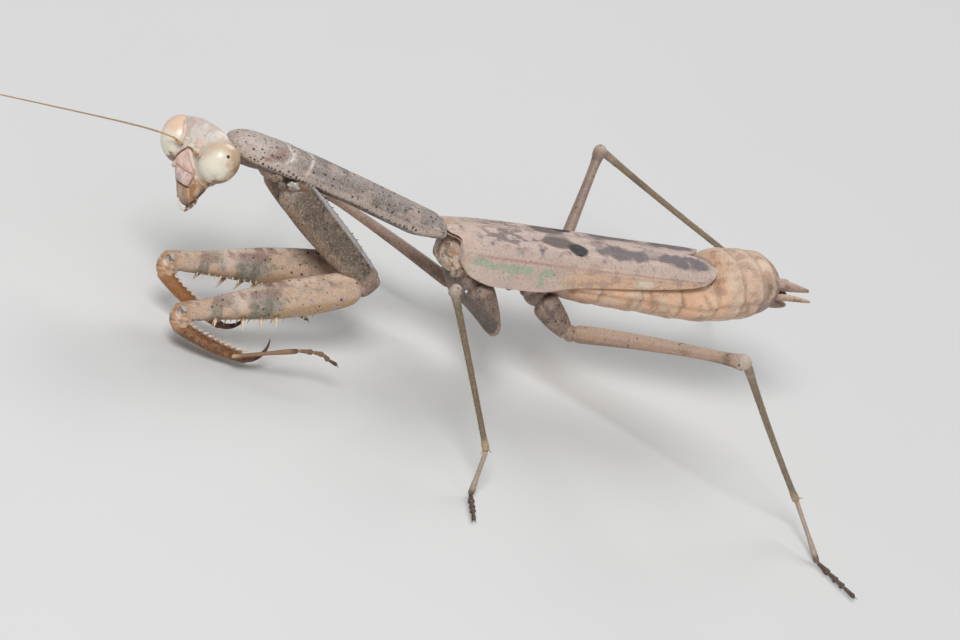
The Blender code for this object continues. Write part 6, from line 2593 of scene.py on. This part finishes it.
@dataclass(frozen=True)
class Studio:
    """A pale floor, three soft lights and the camera."""

    aim: Row = (2.8665, 2.2951, 5.665)
    azimuth: float = 57.0
    elevation: float = 26.3
    roll: float = 27.2
    distance: float = 305.0
    lens: float = 148.69

    def make_floor(self) -> None:
        """A wide pale floor with a faint tone of its own."""
        Bench.clear()
        bpy.ops.mesh.primitive_plane_add(size=12, location=(0, 0, 0))
        floor = bpy.context.object
        floor.name = "floor"
        recipe = Recipe("floor_paper")
        mottle = recipe.grain(recipe.point(), 0.02, 3)
        recipe.feed(recipe.surface.inputs["Base Color"], recipe.blend(mottle, (0.7, 0.7, 0.69), (0.73, 0.73, 0.72)))
        recipe.fix({"Roughness": 0.85, "Specular IOR Level": 0.2})
        floor.data.materials.append(recipe.material)

    def light(self, name: str, azimuth: float, elevation: float, distance: float, size: float, power: float) -> None:
        """One soft square light aimed at the animal.

        Args:
            name: Its name.
            azimuth: Where it stands, 0 ahead of the animal and 90 to its left.
            elevation: How high it stands.
            distance: How far off, in metres.
            size: Its side.
            power: Its power in watts.
        """
        Bench.clear()
        place = heading(azimuth, elevation) * distance
        bpy.ops.object.light_add(type="AREA", location=place)
        lamp = bpy.context.object
        lamp.name = name
        lamp.data.size = size
        lamp.data.energy = power
        lamp.rotation_euler = (-place).to_track_quat("-Z", "Y").to_euler()

    def make_lights(self) -> None:
        """Key, fill and rim, over a pale surround."""
        self.light("key", 46, 50, 0.6, 0.2, 2.2)
        self.light("fill", 105, 30, 0.7, 0.45, 0.45)
        self.light("rim", -130, 45, 0.6, 0.3, 1.3)
        world = bpy.data.worlds.new("surround")
        world.use_nodes = True
        world.node_tree.nodes["Background"].inputs["Color"].default_value = (0.95, 0.97, 1, 1)
        world.node_tree.nodes["Background"].inputs["Strength"].default_value = 0.27
        bpy.context.scene.world = world
        bpy.context.scene.view_settings.view_transform = "Standard"

    def make_camera(self) -> None:
        """The camera: long lens, looking down a little from the animal's front left."""
        ahead = -heading(self.azimuth, self.elevation)
        level = ahead.cross(UP).normalized()
        upright = level.cross(ahead)
        r = radians(self.roll)
        right = level * cos(r) + upright * sin(r)
        up = upright * cos(r) - level * sin(r)
        turn = Matrix((right, up, -ahead)).transposed().to_4x4()
        target = (Vector(self.aim) + Bench.origin) * MM
        data = bpy.data.cameras.new("camera")
        camera = bpy.data.objects.new("camera", data)
        bpy.context.collection.objects.link(camera)
        camera.matrix_world = Matrix.Translation(target - ahead * self.distance * MM) @ turn
        data.lens = self.lens
        data.sensor_width = 36.0
        data.clip_start = 0.01
        data.clip_end = 20.0
        bpy.context.scene.camera = camera

    def make(self) -> None:
        """Set the stage."""
        self.make_floor()
        self.make_lights()
        self.make_camera()


def main() -> None:
    """Load the frame, build every part over it and set the stage."""
    logging.basicConfig(level=logging.INFO, format="%(message)s")
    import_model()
    stance = Stance()
    Bench.origin = stance.over_floor()
    kit = finishes()
    Head(stance, kit).make()
    Trunk(stance, kit).make()
    ForeLeg(stance, kit).make()
    ForeLeg(stance, kit, side=Side.RIGHT, root_back=5.05, coxa=(-197.6, -33.5), femur=(3.5, -7.1), tibia=(-200, -24),
        tarsus=(-185, 25)).make()
    # Each walking leg's femur colour is scaled down by its own amount of painted shade, most on the left middle leg.
    WalkingLeg(stance, kit).make()
    WalkingLeg(stance, kit, side=Side.RIGHT, root=(-3.65, 2.9, -4.55), pose=(-30.3, 10.7, -114, 3, -95),
        dim=0.7).make()
    hind = {"pair": Pair.HIND, "femur_length": 17.1, "tibia_length": 16.8, "foot": (5, 4.2)}
    WalkingLeg(stance, kit, root=(3.45, 9.2, -3.7), pose=(116, 29, 186.5, 3, 113), dim=1, **hind).make()
    WalkingLeg(stance, kit, side=Side.RIGHT, root=(-3.35, 10.1, -3.5), pose=(-119, 22.3, -195.7, 6.8, -116),
        dim=0.62, **hind).make()
    Wings(stance, kit).make()
    Abdomen(stance, kit).make()
    Studio().make()


if __name__ == "__main__":
    main()
